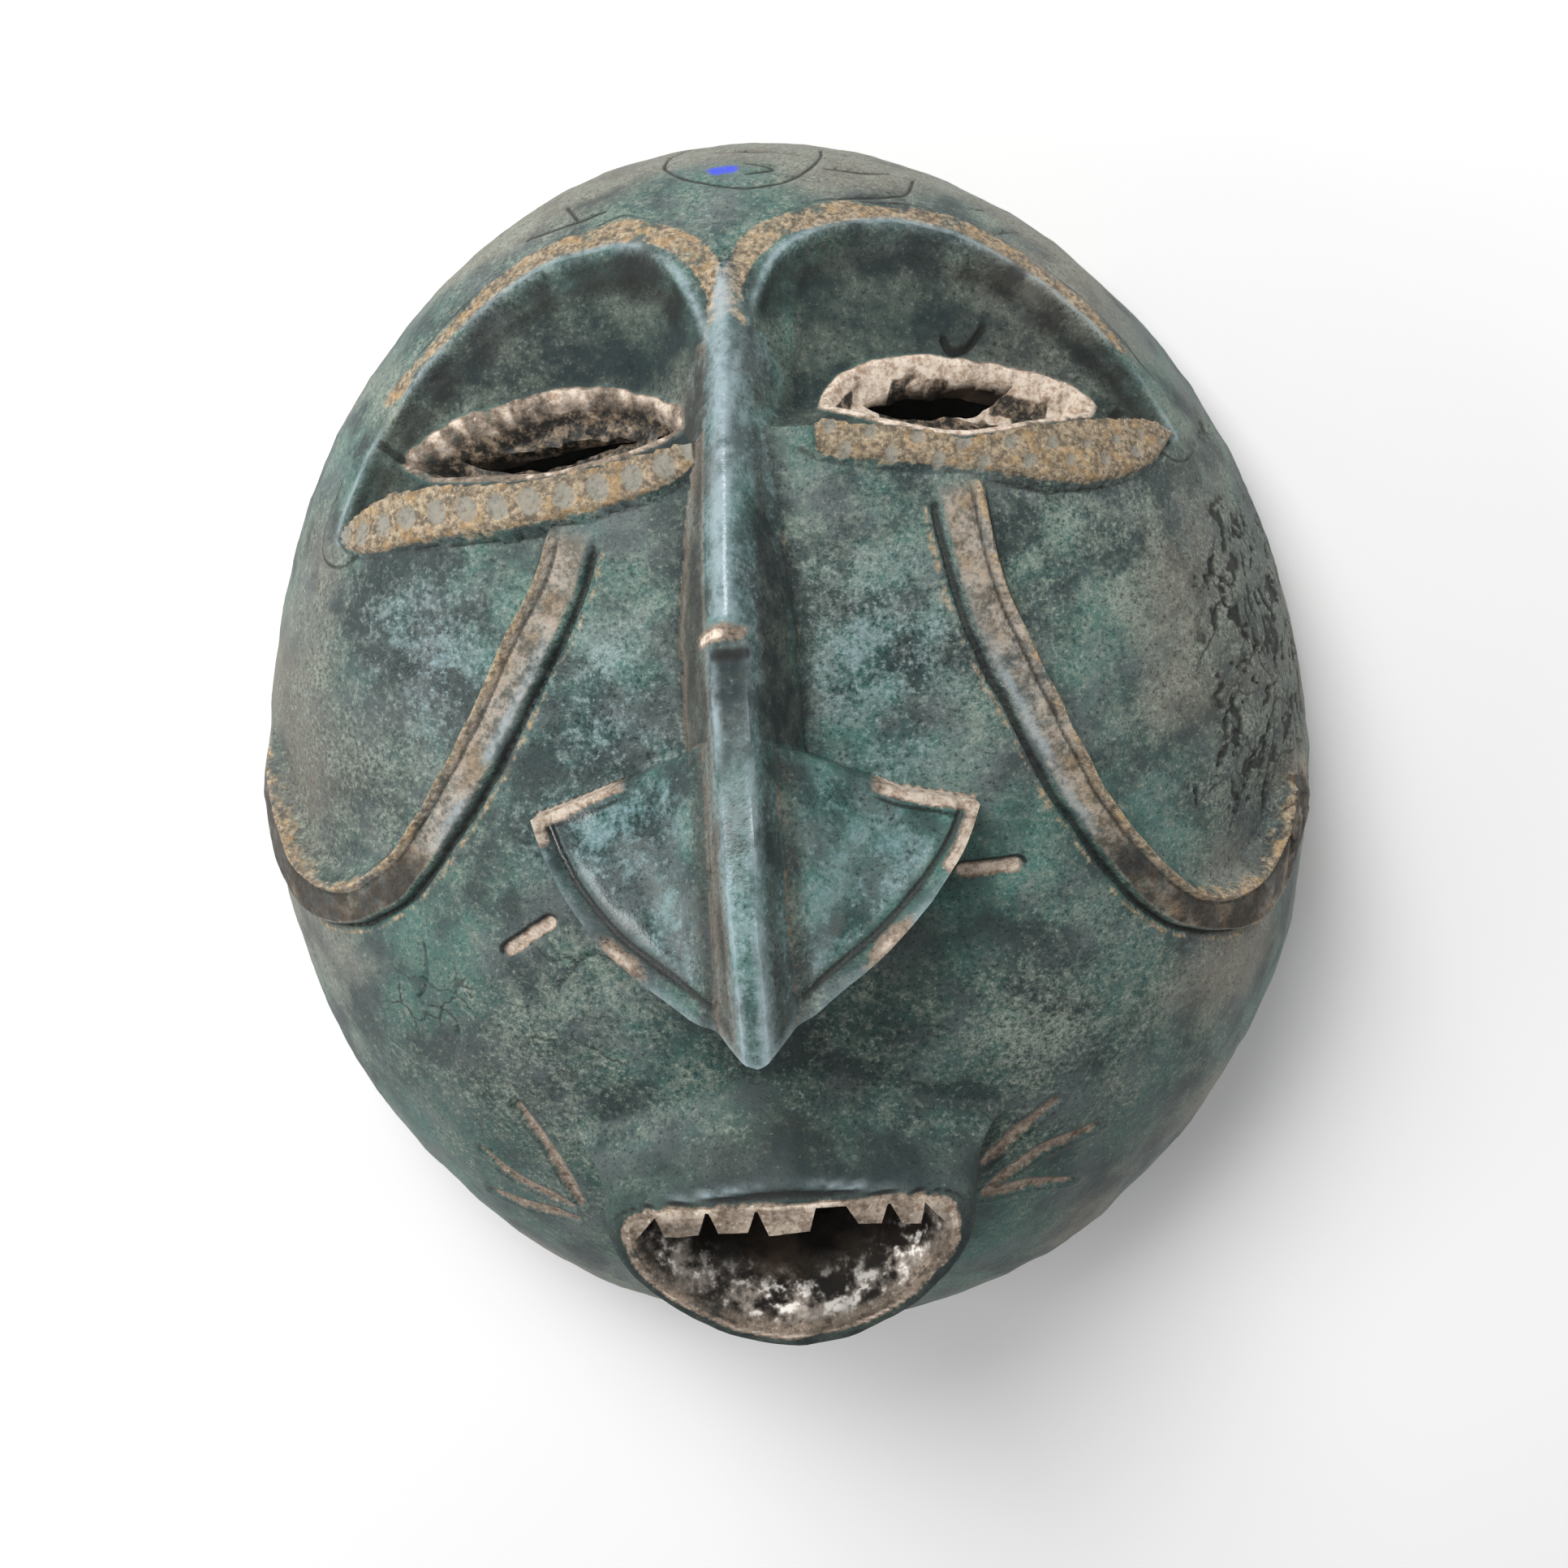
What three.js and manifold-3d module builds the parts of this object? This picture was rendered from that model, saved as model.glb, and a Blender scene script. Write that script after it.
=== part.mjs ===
// Igala face mask, carved from one piece of wood and hollowed from behind. Millimetres.
// The mask lies on its back rim: z = 0 is the rim, +Z the face, +Y the forehead, and +X is to
// the right for someone who looks down on the face. The origin is the middle of the rim's box.
import * as THREE from "three";
import Module from "manifold-3d";

const wasm = await Module();
wasm.setup();

// The plain block before carving: an egg-shaped dome. The carving centre, from which all heights
// are taken, lies on the floor where the widest places to the left and right meet.
const HALF_WIDTH = 124.4;
const CROWN = 148.1;
const CHIN = 134.8;
const DEPTH = 106;
const OUTLINE_POWER = 1.975;
const SIDE_POWER = 2.3;
const CROWN_POWER = 2.6;
const CHIN_POWER = 2.3;

// Lengths on the face are taken with a tape laid from the top of the dome: p to the right and
// q up. One radian away from the top is this much tape. The carving dies out before the rim.
const TAPE = 115;
const RIM_TAPE = TAPE * Math.PI / 2;
const PLAIN_EDGE = 16;

// The wall, and how much deeper or shallower the hollow is behind the carving.
const WALL = 12;
const RIM_WALL = 14;
const WALL_CHANGE = 40;
const HOLLOW_BUMPS = [
  { p: 50, q: 97, wide: 36, tall: 22, deep: -9 },
  { p: -38, q: 95, wide: 36, tall: 22, deep: -9 },
  { p: 3, q: 8, wide: 11, tall: 34, deep: 12 },
  { p: 2.6, q: -75, wide: 29, tall: 17, deep: 15 },
];

// The two halves of the face were carved by eye and differ, so each has its own lines.
const SIDES = [
  {
    sign: 1,
    brow: [[6.5, 72], [7.8, 90], [9.6, 98], [11.5, 106], [15.5, 113.5], [22, 117.5], [33, 120.5],
      [48, 121], [64, 116.5], [82, 105], [95.5, 92], [102, 80.5]],
    lidTop: [[5, 83], [25, 82.5], [40, 80], [52, 78], [66, 80], [82, 81.5], [95, 82.5], [102, 80.5]],
    lidFoot: [[18, 79], [25, 76], [38, 74], [52, 72], [68, 69], [80, 68.5], [93, 72.5], [102, 80.5]],
    lidStart: 21.5,
    eye: {
      inner: [23.5, 93], outer: [87, 90.5], up: 12.5, down: 10.8, bends: [0.95, 1.25], point: 0.8,
      bowlFrom: 1, bowlRun: 7,
    },
    slit: { from: [34.5, 97.2], to: [68.5, 98.2], half: 3.3 },
    ridge: [[49, 72], [51, 61], [54, 49], [59, 36], [66, 21], [75, 2], [87, -16], [98, -25],
      [112, -28.5], [127, -24], [139, -10], [144, 10]],
    ridgeHalf: [4.4, 4, 4.5, 7, 5],
    wing: [[35, 13.5], [51, 9], [46, 0], [38, -8], [28, -15.5], [17, -21.5], [8, -26], [3.5, -28]],
  },
  {
    sign: -1,
    brow: [[3.5, 72], [2.6, 90], [0.6, 98], [-2.4, 106], [-6.5, 113], [-12, 117], [-20, 118.5],
      [-38, 116], [-58, 106], [-74, 93], [-83, 81], [-88, 72]],
    lidTop: [[5, 82], [-10, 80], [-25, 78], [-42, 77], [-60, 78.5], [-72, 78], [-82, 75], [-88, 72]],
    lidFoot: [[-1, 78], [-4, 75.5], [-15, 72], [-38, 69], [-59, 68], [-74, 67], [-84, 68.5],
      [-88, 72]],
    lidStart: 2.5,
    eye: {
      inner: [-5.8, 88.5], outer: [-73, 88.5], up: 14, down: 8.8, bends: [0.95, 1.5], point: 0.85,
      bowlFrom: 2.6, bowlRun: 2,
    },
    slit: { from: [-19, 94.6], to: [-62, 91.6], half: 2.4 },
    ridge: [[-29, 70], [-32.5, 60], [-39.5, 49], [-48, 36], [-58, 22], [-68.5, 9.5], [-80, -2],
      [-94, -8.5], [-110, -8], [-124, 2], [-133, 18], [-137, 36]],
    ridgeHalf: [4.4, 4.2, 4.7, 7.4, 5],
    wing: [[-25, 19], [-44, 12.5], [-39, 2], [-33, -6], [-24, -14], [-13, -20.5], [-3, -25.5],
      [3.5, -28]],
  },
];

// The cheek bands: half their width is given above at these shares of their length, and the
// height of their inner and outer edge here. The cheek beside them is cut back.
const RIDGE_STATIONS = [0, 0.45, 0.62, 0.8, 1];
const RIDGE_INNER = { at: [0, 0.5, 0.7, 1], high: [1, 1.4, 2.4, 1.5] };
const RIDGE_OUTER = { at: [0, 0.3, 0.7, 1], high: [1.6, 2.6, 3.2, 1.3] };
const RIDGE_GROOVE = 0.9;
const CHEEK_CUT = 2.6;
const CHEEK_RUN = 38;

// The eye sockets: how steeply they fall from the brow edge at shares of its length, the sharp
// step there, how steeply they rise to the lid, and how deep they are at most.
const SOCKET_FALL = { at: [0, 0.25, 0.4, 0.6, 1], by: [1.4, 1.2, 0.9, 0.8, 0.6] };
const SOCKET_STEP = { at: [0, 0.2, 0.35, 1], by: [0.8, 1.8, 2.4, 2.2] };
const SOCKET_RISE = 1.15;
const SOCKET_DEPTH = 15;
const LOWEST_SOCKET_Q = 55;
const BROW_BAND = { high: 0.7, wide: 8, from: 0.28 };
const LID_HEIGHT = 1.7;
const EYE_RIM_HEIGHT = 1.3;
const EYE_DEPTH = 3.5;

// The nose, from its tip up to where it dies between the brows. It is flat on top below the
// notch and round above it.
const NOSE_TIP_Q = -28;
const NOSE_END_Q = 112;
const NOTCH_Q = 41;
const NOSE_AXIS = { q: [-28, 0, 33, 59, 100], p: [3.1, 3.2, 3.5, 4.1, 5.3] };
const NOSE_HEIGHT = {
  q: [-28, -12, 0, 13, 26, 42, 45, 54, 69, 80, 99, 108],
  h: [37.5, 33, 29.3, 25.2, 21.3, 16.8, 17.6, 14.8, 10.3, 7.2, 2.5, 0],
};
const NOSE_HALF = { q: [-28, -10, 13, 33, 60, 85, 103], half: [1.7, 1.9, 2.6, 3, 3.4, 3.2, 3] };
const NOSE_SLOPE = { q: [-28, 0, 20, 33, 60, 80, 100], by: [1.7, 2.1, 2.4, 2.1, 1.9, 1.9, 1.7] };
const ROUND_RADIUS = 3;

// The flared sides of the nose: how far they reach out and how high their lower edge stands at
// each q, how deep they are dished, and the run of the steep wall at their edge.
const WING_REACH = { q: [-28, -20, -10, 0, 10, 20, 28], out: [2, 12, 24, 32, 38, 30, 26] };
const WING_EDGE = {
  q: [-28, -25.5, -20.5, -14, -6, 2, 12.5, 28],
  high: [36, 32, 25, 18.5, 12.5, 8, 4, 2],
};
const WING_ROOT = { out: 8, below: 9.5 };
const WING_DISH = 2.6;
const WING_LEAST = 2.2;
const WALL_RUN = 1.8;
const TOP_RUN = 1.5;
const BEAD = { at: 1.6, high: 1.5, wide: 1.3 };
const BEAD_GROOVE = { at: 4.2, deep: 1.1, wide: 0.9 };

// The mouth, a short tube that stands out of the chin. Its outlines are flat above and round
// below, and worn teeth hang from the upper lip.
const MOUTH = { p: 2.5, q: -70, topPower: 4.5, bottomPower: 1.65 };
const LIP_EDGE = { wide: 31.8, up: 6.3, down: 19 };
const OPENING = { wide: 28.8, up: 5.2, down: 17.2 };
const LIP_ROLL = { run: 3.2, drop: 2.2, power: 2.2 };
const TUBE_SLOPE = { below: 3, above: 1.15 };
const TUBE_FILLET = { below: 6, above: 3 };
const TUBE_REACH = 22;
const TEETH = [
  { from: -24.5, to: -14.8, drop: 3.8 },
  { from: -14.3, to: -5.7, drop: 3.7 },
  { from: -5.1, to: 5.7, drop: 4.2 },
  { from: 11.4, to: 18.8, drop: 3.4 },
  { from: 19.3, to: 25.6, drop: 4 },
];
const TOOTH_DEPTH = 5;
const TOOTH_BEVEL = 1.6;

// How fine the facets are.
const FACE_KNOTS = 3500;
const HOLLOW_KNOTS = 560;
const FACE_RING = 96;
const HOLLOW_RING = 64;

const WOOD = { color: 0x3d4a45, roughness: 0.55, metalness: 0 };

const clamp = THREE.MathUtils.clamp;
const soft = (x) => THREE.MathUtils.smoothstep(x, 0, 1);
const bell = (x) => Math.exp(-x * x);
const mix = THREE.MathUtils.lerp;

// The larger of two heights, with a fillet of width k between them.
function join(a, b, k) {
  const near = Math.max(k - Math.abs(a - b), 0) / k;
  return Math.max(a, b) + near * near * k / 4;
}
const cut = (a, b, k) => -join(-a, -b, k);

function along(x, xs, ys) {
  if (x <= xs[0]) return ys[0];
  for (let i = 1; i < xs.length; i++) {
    if (x <= xs[i]) return mix(ys[i - 1], ys[i], (x - xs[i - 1]) / (xs[i] - xs[i - 1]));
  }
  return ys[ys.length - 1];
}

function pulled(points, steps = 8) {
  const curve = new THREE.SplineCurve(points.map(([p, q]) => new THREE.Vector2(p, q)));
  return curve.getPoints(steps * (points.length - 1)).map((v) => [v.x, v.y]);
}

// A carved line: how far a place is from it, on which side, and how far along it.
class Line {
  static REACH = 50;

  constructor(points) {
    this.points = points;
    this.lengths = [0];
    for (let i = 1; i < points.length; i++) {
      const [[ax, ay], [bx, by]] = [points[i - 1], points[i]];
      this.lengths.push(this.lengths[i - 1] + Math.hypot(bx - ax, by - ay));
    }
    this.box = new THREE.Box2().setFromPoints(points.map(([x, y]) => new THREE.Vector2(x, y)));
    this.box.expandByScalar(Line.REACH);
  }

  nearest(p, q) {
    const found = { distance: Line.REACH, side: 1, at: 0 };
    if (!this.box.containsPoint(new THREE.Vector2(p, q))) return found;
    const whole = this.lengths[this.lengths.length - 1];
    for (let i = 1; i < this.points.length; i++) {
      const [ax, ay] = this.points[i - 1];
      const [dx, dy] = [this.points[i][0] - ax, this.points[i][1] - ay];
      const t = Math.min(Math.max(((p - ax) * dx + (q - ay) * dy) / (dx * dx + dy * dy), 0), 1);
      const distance = Math.hypot(p - ax - t * dx, q - ay - t * dy);
      if (distance < found.distance) {
        found.distance = distance;
        found.side = Math.sign(dx * (q - ay) - dy * (p - ax)) || 1;
        found.at = (this.lengths[i - 1] + t * (this.lengths[i] - this.lengths[i - 1])) / whole;
      }
    }
    return found;
  }
}

function within(outline, p, q) {
  let inside = false;
  for (let i = 0, j = outline.length - 1; i < outline.length; j = i++) {
    const [[x1, y1], [x2, y2]] = [outline[i], outline[j]];
    if ((y1 > q) !== (y2 > q) && p < (x2 - x1) * (q - y1) / (y2 - y1) + x1) inside = !inside;
  }
  return inside;
}

const noseAxis = (q) => along(q, NOSE_AXIS.q, NOSE_AXIS.p);
const noseHeight = (q) => along(q, NOSE_HEIGHT.q, NOSE_HEIGHT.h);

// An almond. The bends move the widest place of its upper and lower edge to one end.
function eyeOutline({ inner, outer, up, down, bends, point }) {
  const steps = 24;
  const shares = Array.from({ length: steps }, (_, i) => (1 - Math.cos(Math.PI * i / steps)) / 2);
  const halves = [[up, bends[0], shares], [-down, bends[1], shares.map((t) => 1 - t)]];
  return halves.flatMap(([rise, bend, ts]) => {
    const open = ts.map((t) => t ** (bend / 2) * Math.max(1 - t ** bend, 0) ** point);
    const widest = Math.max(...open);
    return ts.map((t, i) => [
      mix(inner[0], outer[0], t),
      mix(inner[1], outer[1], t) + rise * open[i] / widest,
    ]);
  });
}

for (const side of SIDES) {
  const brow = pulled(side.brow);
  const lidTop = pulled(side.lidTop);
  const lidFoot = pulled(side.lidFoot);
  const eyeRing = eyeOutline(side.eye);
  const rim = pulled(side.wing.slice(1));
  const [root, corner] = side.wing;
  const back = [noseAxis(28), 28];
  side.lines = {
    brow: new Line(brow),
    lidTop: new Line(lidTop),
    lidFoot: new Line(lidFoot),
    eye: new Line([...eyeRing, eyeRing[0]]),
    ridge: new Line(pulled(side.ridge)),
    wingRim: new Line(rim),
    wingTop: new Line([back, root, corner]),
  };
  side.areas = {
    orbit: [...brow, ...lidTop.toReversed()],
    lid: [...lidTop, ...lidFoot.toReversed()],
    eye: eyeRing,
    wing: [back, root, ...rim, [noseAxis(NOSE_TIP_Q), NOSE_TIP_Q], [noseAxis(0), 0]],
  };
}

// Everything below returns how far the wood stands above the plain dome.
// The flat front of the face between the cheek bands is cut back a little.
function midFace(p, q) {
  const across = Math.abs(p - noseAxis(q));
  return -1.2 * soft((60 - Math.abs(q - 35)) / 30) * soft((52 - across) / 20);
}

// A raised band sweeps down the cheek and curls out, round a cheek that is cut back a little.
function cheek(side, p, q, ground) {
  const { distance, side: hand, at } = side.lines.ridge.nearest(p, q);
  if (distance >= Line.REACH) return ground;
  const half = along(at, RIDGE_STATIONS, side.ridgeHalf);
  const live = soft(at / 0.03) * soft((1 - at) / 0.12);
  const outward = distance * hand * side.sign;
  const across = clamp((outward + half) / (2 * half), 0, 1);
  const inner = along(at, RIDGE_INNER.at, RIDGE_INNER.high);
  const outer = along(at, RIDGE_OUTER.at, RIDGE_OUTER.high);
  const top = mix(inner, outer, across ** 1.3) * live;
  const groove = RIDGE_GROOVE * live * bell((outward + half + 1.1) / 0.9);
  if (outward <= 0) return ground + top * (1 - soft((distance - half + 0.2) / 1.1)) - groove;
  const fall = soft((distance - half + 0.6) / 3);
  const beside = soft((outward - half + 1.5) / 3.5) * (1 - soft((outward - half - 4) / CHEEK_RUN));
  return ground - CHEEK_CUT * live * beside + top * (1 - fall) - groove;
}

// The eye socket is scooped from the brow down to the lower lid, which stands as a flat band.
function orbit(side, p, q, ground) {
  if (q < LOWEST_SOCKET_Q) return ground;
  const brow = side.lines.brow.nearest(p, q);
  const top = side.lines.lidTop.nearest(p, q);
  if (within(side.areas.orbit, p, q)) {
    const fall = along(brow.at, SOCKET_FALL.at, SOCKET_FALL.by);
    const step = along(brow.at, SOCKET_STEP.at, SOCKET_STEP.by);
    const scoop = step * soft(brow.distance / 0.9) + fall * brow.distance;
    return -cut(cut(scoop, 0.2 + SOCKET_RISE * top.distance, 3), SOCKET_DEPTH, 5);
  }
  if (side.sign * p > side.lidStart && within(side.areas.lid, p, q)) {
    const foot = side.lines.lidFoot.nearest(p, q);
    const edge = Math.min(foot.distance, top.distance + 1.5);
    return join(ground, LID_HEIGHT * soft(edge / 1.3), 0.5);
  }
  const end = soft((brow.at - BROW_BAND.from) / 0.06);
  return ground + BROW_BAND.high * end * soft((BROW_BAND.wide - brow.distance) / 1.5);
}

// The eye: a bare rim round a bowl.
function eye(side, p, q, ground) {
  const { distance } = side.lines.eye.nearest(p, q);
  if (distance > 12) return ground;
  const inward = within(side.areas.eye, p, q) ? distance : -distance;
  const bowl = soft((inward - side.eye.bowlFrom) / side.eye.bowlRun);
  return ground + EYE_RIM_HEIGHT * bell((inward - 0.8) / 1.3) - EYE_DEPTH * bowl;
}

// The flared sides of the nose, dished, with a bead along the lower edge.
function wing(side, p, q, ground) {
  if (!within(side.areas.wing, p, q)) return ground;
  const rim = side.lines.wingRim.nearest(p, q);
  const top = side.lines.wingTop.nearest(p, q);
  const reach = along(q, WING_REACH.q, WING_REACH.out);
  const across = Math.abs(p - noseAxis(q)) - WING_ROOT.out;
  const out = clamp(across / Math.max(reach - WING_ROOT.out, 3), 0, 1);
  const root = noseHeight(q) - WING_ROOT.below;
  const edge = along(q, WING_EDGE.q, WING_EDGE.high);
  const dish = WING_DISH * Math.sin(Math.PI * out) * soft((reach - WING_ROOT.out) / 15);
  const bead = BEAD.high * bell((rim.distance - BEAD.at) / BEAD.wide)
    - BEAD_GROOVE.deep * bell((rim.distance - BEAD_GROOVE.at) / BEAD_GROOVE.wide);
  const face = Math.max(mix(root, edge, out) - dish, WING_LEAST) + bead * soft(rim.at / 0.02);
  const shown = clamp(rim.distance / WALL_RUN, 0, 1) * clamp(top.distance / TOP_RUN, 0, 1);
  return Math.max(ground, mix(ground, face, shown));
}

// Between the flared sides the bridge of the nose ends at their lower edge.
function nose(p, q, ground) {
  if (q > NOSE_END_Q || q < NOSE_TIP_Q - 2) return ground;
  const across = Math.abs(p - noseAxis(q));
  if (across > 40) return ground;
  let edge = 1;
  if (q < 12) {
    const side = SIDES[p > noseAxis(q) ? 0 : 1];
    if (!within(side.areas.wing, p, q)) return ground;
    edge = clamp(side.lines.wingRim.nearest(p, q).distance / WALL_RUN, 0, 1);
  }
  const crest = noseHeight(q);
  const half = along(q, NOSE_HALF.q, NOSE_HALF.half);
  const slope = along(q, NOSE_SLOPE.q, NOSE_SLOPE.by);
  const flat = crest - Math.max(across - half, 0) * slope;
  const round = crest + 1.2 - slope * (Math.hypot(across, ROUND_RADIUS) - ROUND_RADIUS);
  const body = mix(flat, round, soft((q - NOTCH_Q) / 3));
  return mix(ground, join(ground, body, q > 30 ? 2.5 : 1.2), edge);
}

const lipHeight = (q) => 17 + 0.27 * (-62 - q);

// How far out a place is, as a share of the way to an outline flat above and round below.
function halfMoon(p, q, { wide, up, down }) {
  const [u, v] = [Math.abs(p - MOUTH.p) / wide, q - MOUTH.q];
  const [rise, power] = v > 0 ? [v / up, MOUTH.topPower] : [-v / down, MOUTH.bottomPower];
  return Math.max((u ** power + rise ** power) ** (1 / power), 1e-6);
}

function mouthTube(p, q, ground) {
  const beyond = Math.hypot(p - MOUTH.p, q - MOUTH.q) * (1 - 1 / halfMoon(p, q, LIP_EDGE));
  if (beyond >= TUBE_REACH) return ground;
  const above = soft((q - MOUTH.q) / 7);
  const rolled = LIP_ROLL.drop * (clamp(beyond, 0, LIP_ROLL.run) / LIP_ROLL.run) ** LIP_ROLL.power;
  const flank = Math.max(beyond - LIP_ROLL.run, 0) * mix(TUBE_SLOPE.below, TUBE_SLOPE.above, above);
  const fillet = mix(TUBE_FILLET.below, TUBE_FILLET.above, above);
  return join(ground, lipHeight(q) - rolled - flank, fillet);
}

function relief(p, q) {
  let h = midFace(p, q);
  for (const side of SIDES) h = cheek(side, p, q, h);
  for (const side of SIDES) h = orbit(side, p, q, h);
  for (const side of SIDES) h = wing(side, p, q, h);
  h = nose(p, q, h);
  h = mouthTube(p, q, h);
  for (const side of SIDES) h = eye(side, p, q, h);
  return h;
}

// From the carving centre to the plain dome, in the direction that leans and turns so far.
function dome(lean, turn) {
  const [c, s] = [Math.abs(Math.cos(turn)), Math.sin(turn)];
  const reach = s > 0 ? CROWN : CHIN;
  const power = SIDE_POWER + ((s > 0 ? CROWN_POWER : CHIN_POWER) - SIDE_POWER) * s * s;
  const flat = ((c / HALF_WIDTH) ** OUTLINE_POWER + (Math.abs(s) / reach) ** OUTLINE_POWER)
    ** (-1 / OUTLINE_POWER);
  return ((Math.sin(lean) / flat) ** power + (Math.cos(lean) / DEPTH) ** power) ** (-1 / power);
}

function pointAt(p, q, height) {
  const tape = Math.min(Math.hypot(p, q), RIM_TAPE);
  const lean = tape / TAPE;
  const turn = Math.atan2(q, p);
  const far = dome(Math.min(lean, Math.PI / 2 - 1e-9), turn) + height;
  const z = tape > RIM_TAPE - 1e-6 ? 0 : far * Math.cos(lean);
  const out = far * Math.sin(lean);
  return new THREE.Vector3(out * Math.cos(turn), out * Math.sin(turn), z);
}

function facePoint(p, q) {
  const fade = soft((RIM_TAPE - Math.hypot(p, q)) / PLAIN_EDGE);
  return pointAt(p, q, relief(p, q) * fade);
}

function hollowPoint(p, q) {
  const near = soft((RIM_TAPE - Math.hypot(p, q)) / WALL_CHANGE);
  let deep = -mix(RIM_WALL, WALL, near);
  for (const bump of HOLLOW_BUMPS) {
    deep += bump.deep * near * bell(Math.hypot((p - bump.p) / bump.wide, (q - bump.q) / bump.tall));
  }
  return pointAt(p, q, deep);
}

// A net of triangles over the tape disc. Knots go where the net strays most from the surface.
class Net {
  constructor(surface, ring) {
    this.surface = surface;
    const far = RIM_TAPE * 20;
    this.knots = [[-far, -far], [far, -far], [0, far]];
    this.places = [null, null, null];
    this.triangles = [this.#triangle(0, 1, 2)];
    this.add(0, 0);
    for (const share of [0.25, 0.5, 0.75, 0.93, 1]) {
      const count = share < 1 ? Math.round(ring * share / 2) : ring;
      for (let i = 0; i < count; i++) {
        const turn = 2 * Math.PI * (i + 0.37) / count;
        this.add(RIM_TAPE * share * Math.cos(turn), RIM_TAPE * share * Math.sin(turn));
      }
    }
    this.rim = Array.from({ length: ring }, (_, i) => this.knots.length - 3 - ring + i);
  }

  #triangle(a, b, c) {
    const [[ax, ay], [bx, by], [cx, cy]] = [this.knots[a], this.knots[b], this.knots[c]];
    const twice = 2 * (ax * (by - cy) + bx * (cy - ay) + cx * (ay - by));
    const [aa, bb, cc] = [ax * ax + ay * ay, bx * bx + by * by, cx * cx + cy * cy];
    const x = (aa * (by - cy) + bb * (cy - ay) + cc * (ay - by)) / twice;
    const y = (aa * (cx - bx) + bb * (ax - cx) + cc * (bx - ax)) / twice;
    return { corners: [a, b, c], x, y, rr: (ax - x) ** 2 + (ay - y) ** 2, worst: null };
  }

  add(p, q) {
    const knot = this.knots.push([p, q]) - 1;
    this.places.push(this.surface(p, q));
    const edges = new Map();
    this.triangles = this.triangles.filter((t) => {
      if ((p - t.x) ** 2 + (q - t.y) ** 2 >= t.rr) return true;
      const [a, b, c] = t.corners;
      for (const [from, to] of [[a, b], [b, c], [c, a]]) {
        if (!edges.delete(`${to},${from}`)) edges.set(`${from},${to}`, [from, to]);
      }
      return false;
    });
    for (const [from, to] of edges.values()) this.triangles.push(this.#triangle(from, to, knot));
  }

  // The place in a triangle where the surface is farthest from it.
  #measure(t) {
    t.worst = { error: 0 };
    if (t.corners.some((k) => k < 3)) return;
    const [a, b, c] = t.corners.map((k) => this.places[k]);
    const plane = new THREE.Plane().setFromCoplanarPoints(a, b, c);
    const steps = Math.min(Math.max(Math.ceil(a.distanceTo(b) / 2.5), 3), 7);
    const [[ap, aq], [bp, bq], [cp, cq]] = t.corners.map((k) => this.knots[k]);
    for (let i = 0; i <= steps; i++) {
      for (let j = 0; j <= steps - i; j++) {
        const [u, v] = [i / steps, j / steps];
        const w = 1 - u - v;
        if (Math.max(u, v, w) > 0.9) continue;
        const [p, q] = [ap * u + bp * v + cp * w, aq * u + bq * v + cq * w];
        if (Math.hypot(p, q) > RIM_TAPE - 1.5) continue;
        const error = Math.abs(plane.distanceToPoint(this.surface(p, q)));
        if (error > t.worst.error) t.worst = { error, p, q };
      }
    }
  }

  refine(count) {
    let added = 1;
    while (added > 0 && this.knots.length < count) {
      for (const t of this.triangles) if (!t.worst) this.#measure(t);
      const loose = this.triangles.filter((t) => t.worst.error > 0.02)
        .sort((s, t) => t.worst.error - s.worst.error);
      const share = Math.min(Math.ceil(loose.length * 0.12), count - this.knots.length);
      added = 0;
      for (const t of loose.slice(0, share)) {
        if (!this.triangles.includes(t)) continue;
        this.add(t.worst.p, t.worst.q);
        added++;
      }
    }
    return this;
  }

  // A closed body: the net, and a wall from its ring down to a flat floor.
  body(floor) {
    const vertices = this.places.slice(3).flatMap((v) => [v.x, v.y, v.z]);
    const faces = this.triangles.map((t) => t.corners)
      .filter((corners) => corners.every((k) => k > 2))
      .map((corners) => corners.map((k) => k - 3));
    const { rim } = this;
    let edge = rim;
    if (floor < 0) {
      edge = rim.map((i) => vertices.push(vertices[3 * i], vertices[3 * i + 1], floor) / 3 - 1);
      rim.forEach((i, n) => {
        const m = (n + 1) % rim.length;
        faces.push([i, edge[n], rim[m]], [rim[m], edge[n], edge[m]]);
      });
    }
    const middle = vertices.push(0, 0, floor) / 3 - 1;
    edge.forEach((k, n) => faces.push([edge[(n + 1) % edge.length], k, middle]));
    return solid(vertices, faces.flat());
  }
}

function solid(vertices, faces) {
  return new wasm.Manifold(new wasm.Mesh({
    numProp: 3,
    vertProperties: new Float32Array(vertices),
    triVerts: new Uint32Array(faces),
  }));
}

// A plug that runs straight away from the carving centre, with one outline for each level.
function plug(levels) {
  const count = levels[0].outline.length;
  const vertices = [];
  for (const { outline, height } of levels) {
    for (const [p, q] of outline) vertices.push(...pointAt(p, q, height(p, q)));
  }
  const faces = [];
  for (let level = 1; level < levels.length; level++) {
    const [low, high] = [(level - 1) * count, level * count];
    for (let i = 0; i < count; i++) {
      const j = (i + 1) % count;
      faces.push(low + i, low + j, high + j, low + i, high + j, high + i);
    }
  }
  const cap = ({ outline }) => THREE.ShapeUtils.triangulateShape(
    outline.map(([p, q]) => new THREE.Vector2(p, q)), []);
  for (const [a, b, c] of cap(levels[0])) faces.push(a, c, b);
  const top = (levels.length - 1) * count;
  for (const [a, b, c] of cap(levels[levels.length - 1])) faces.push(top + a, top + b, top + c);
  return solid(vertices, faces);
}

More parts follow.
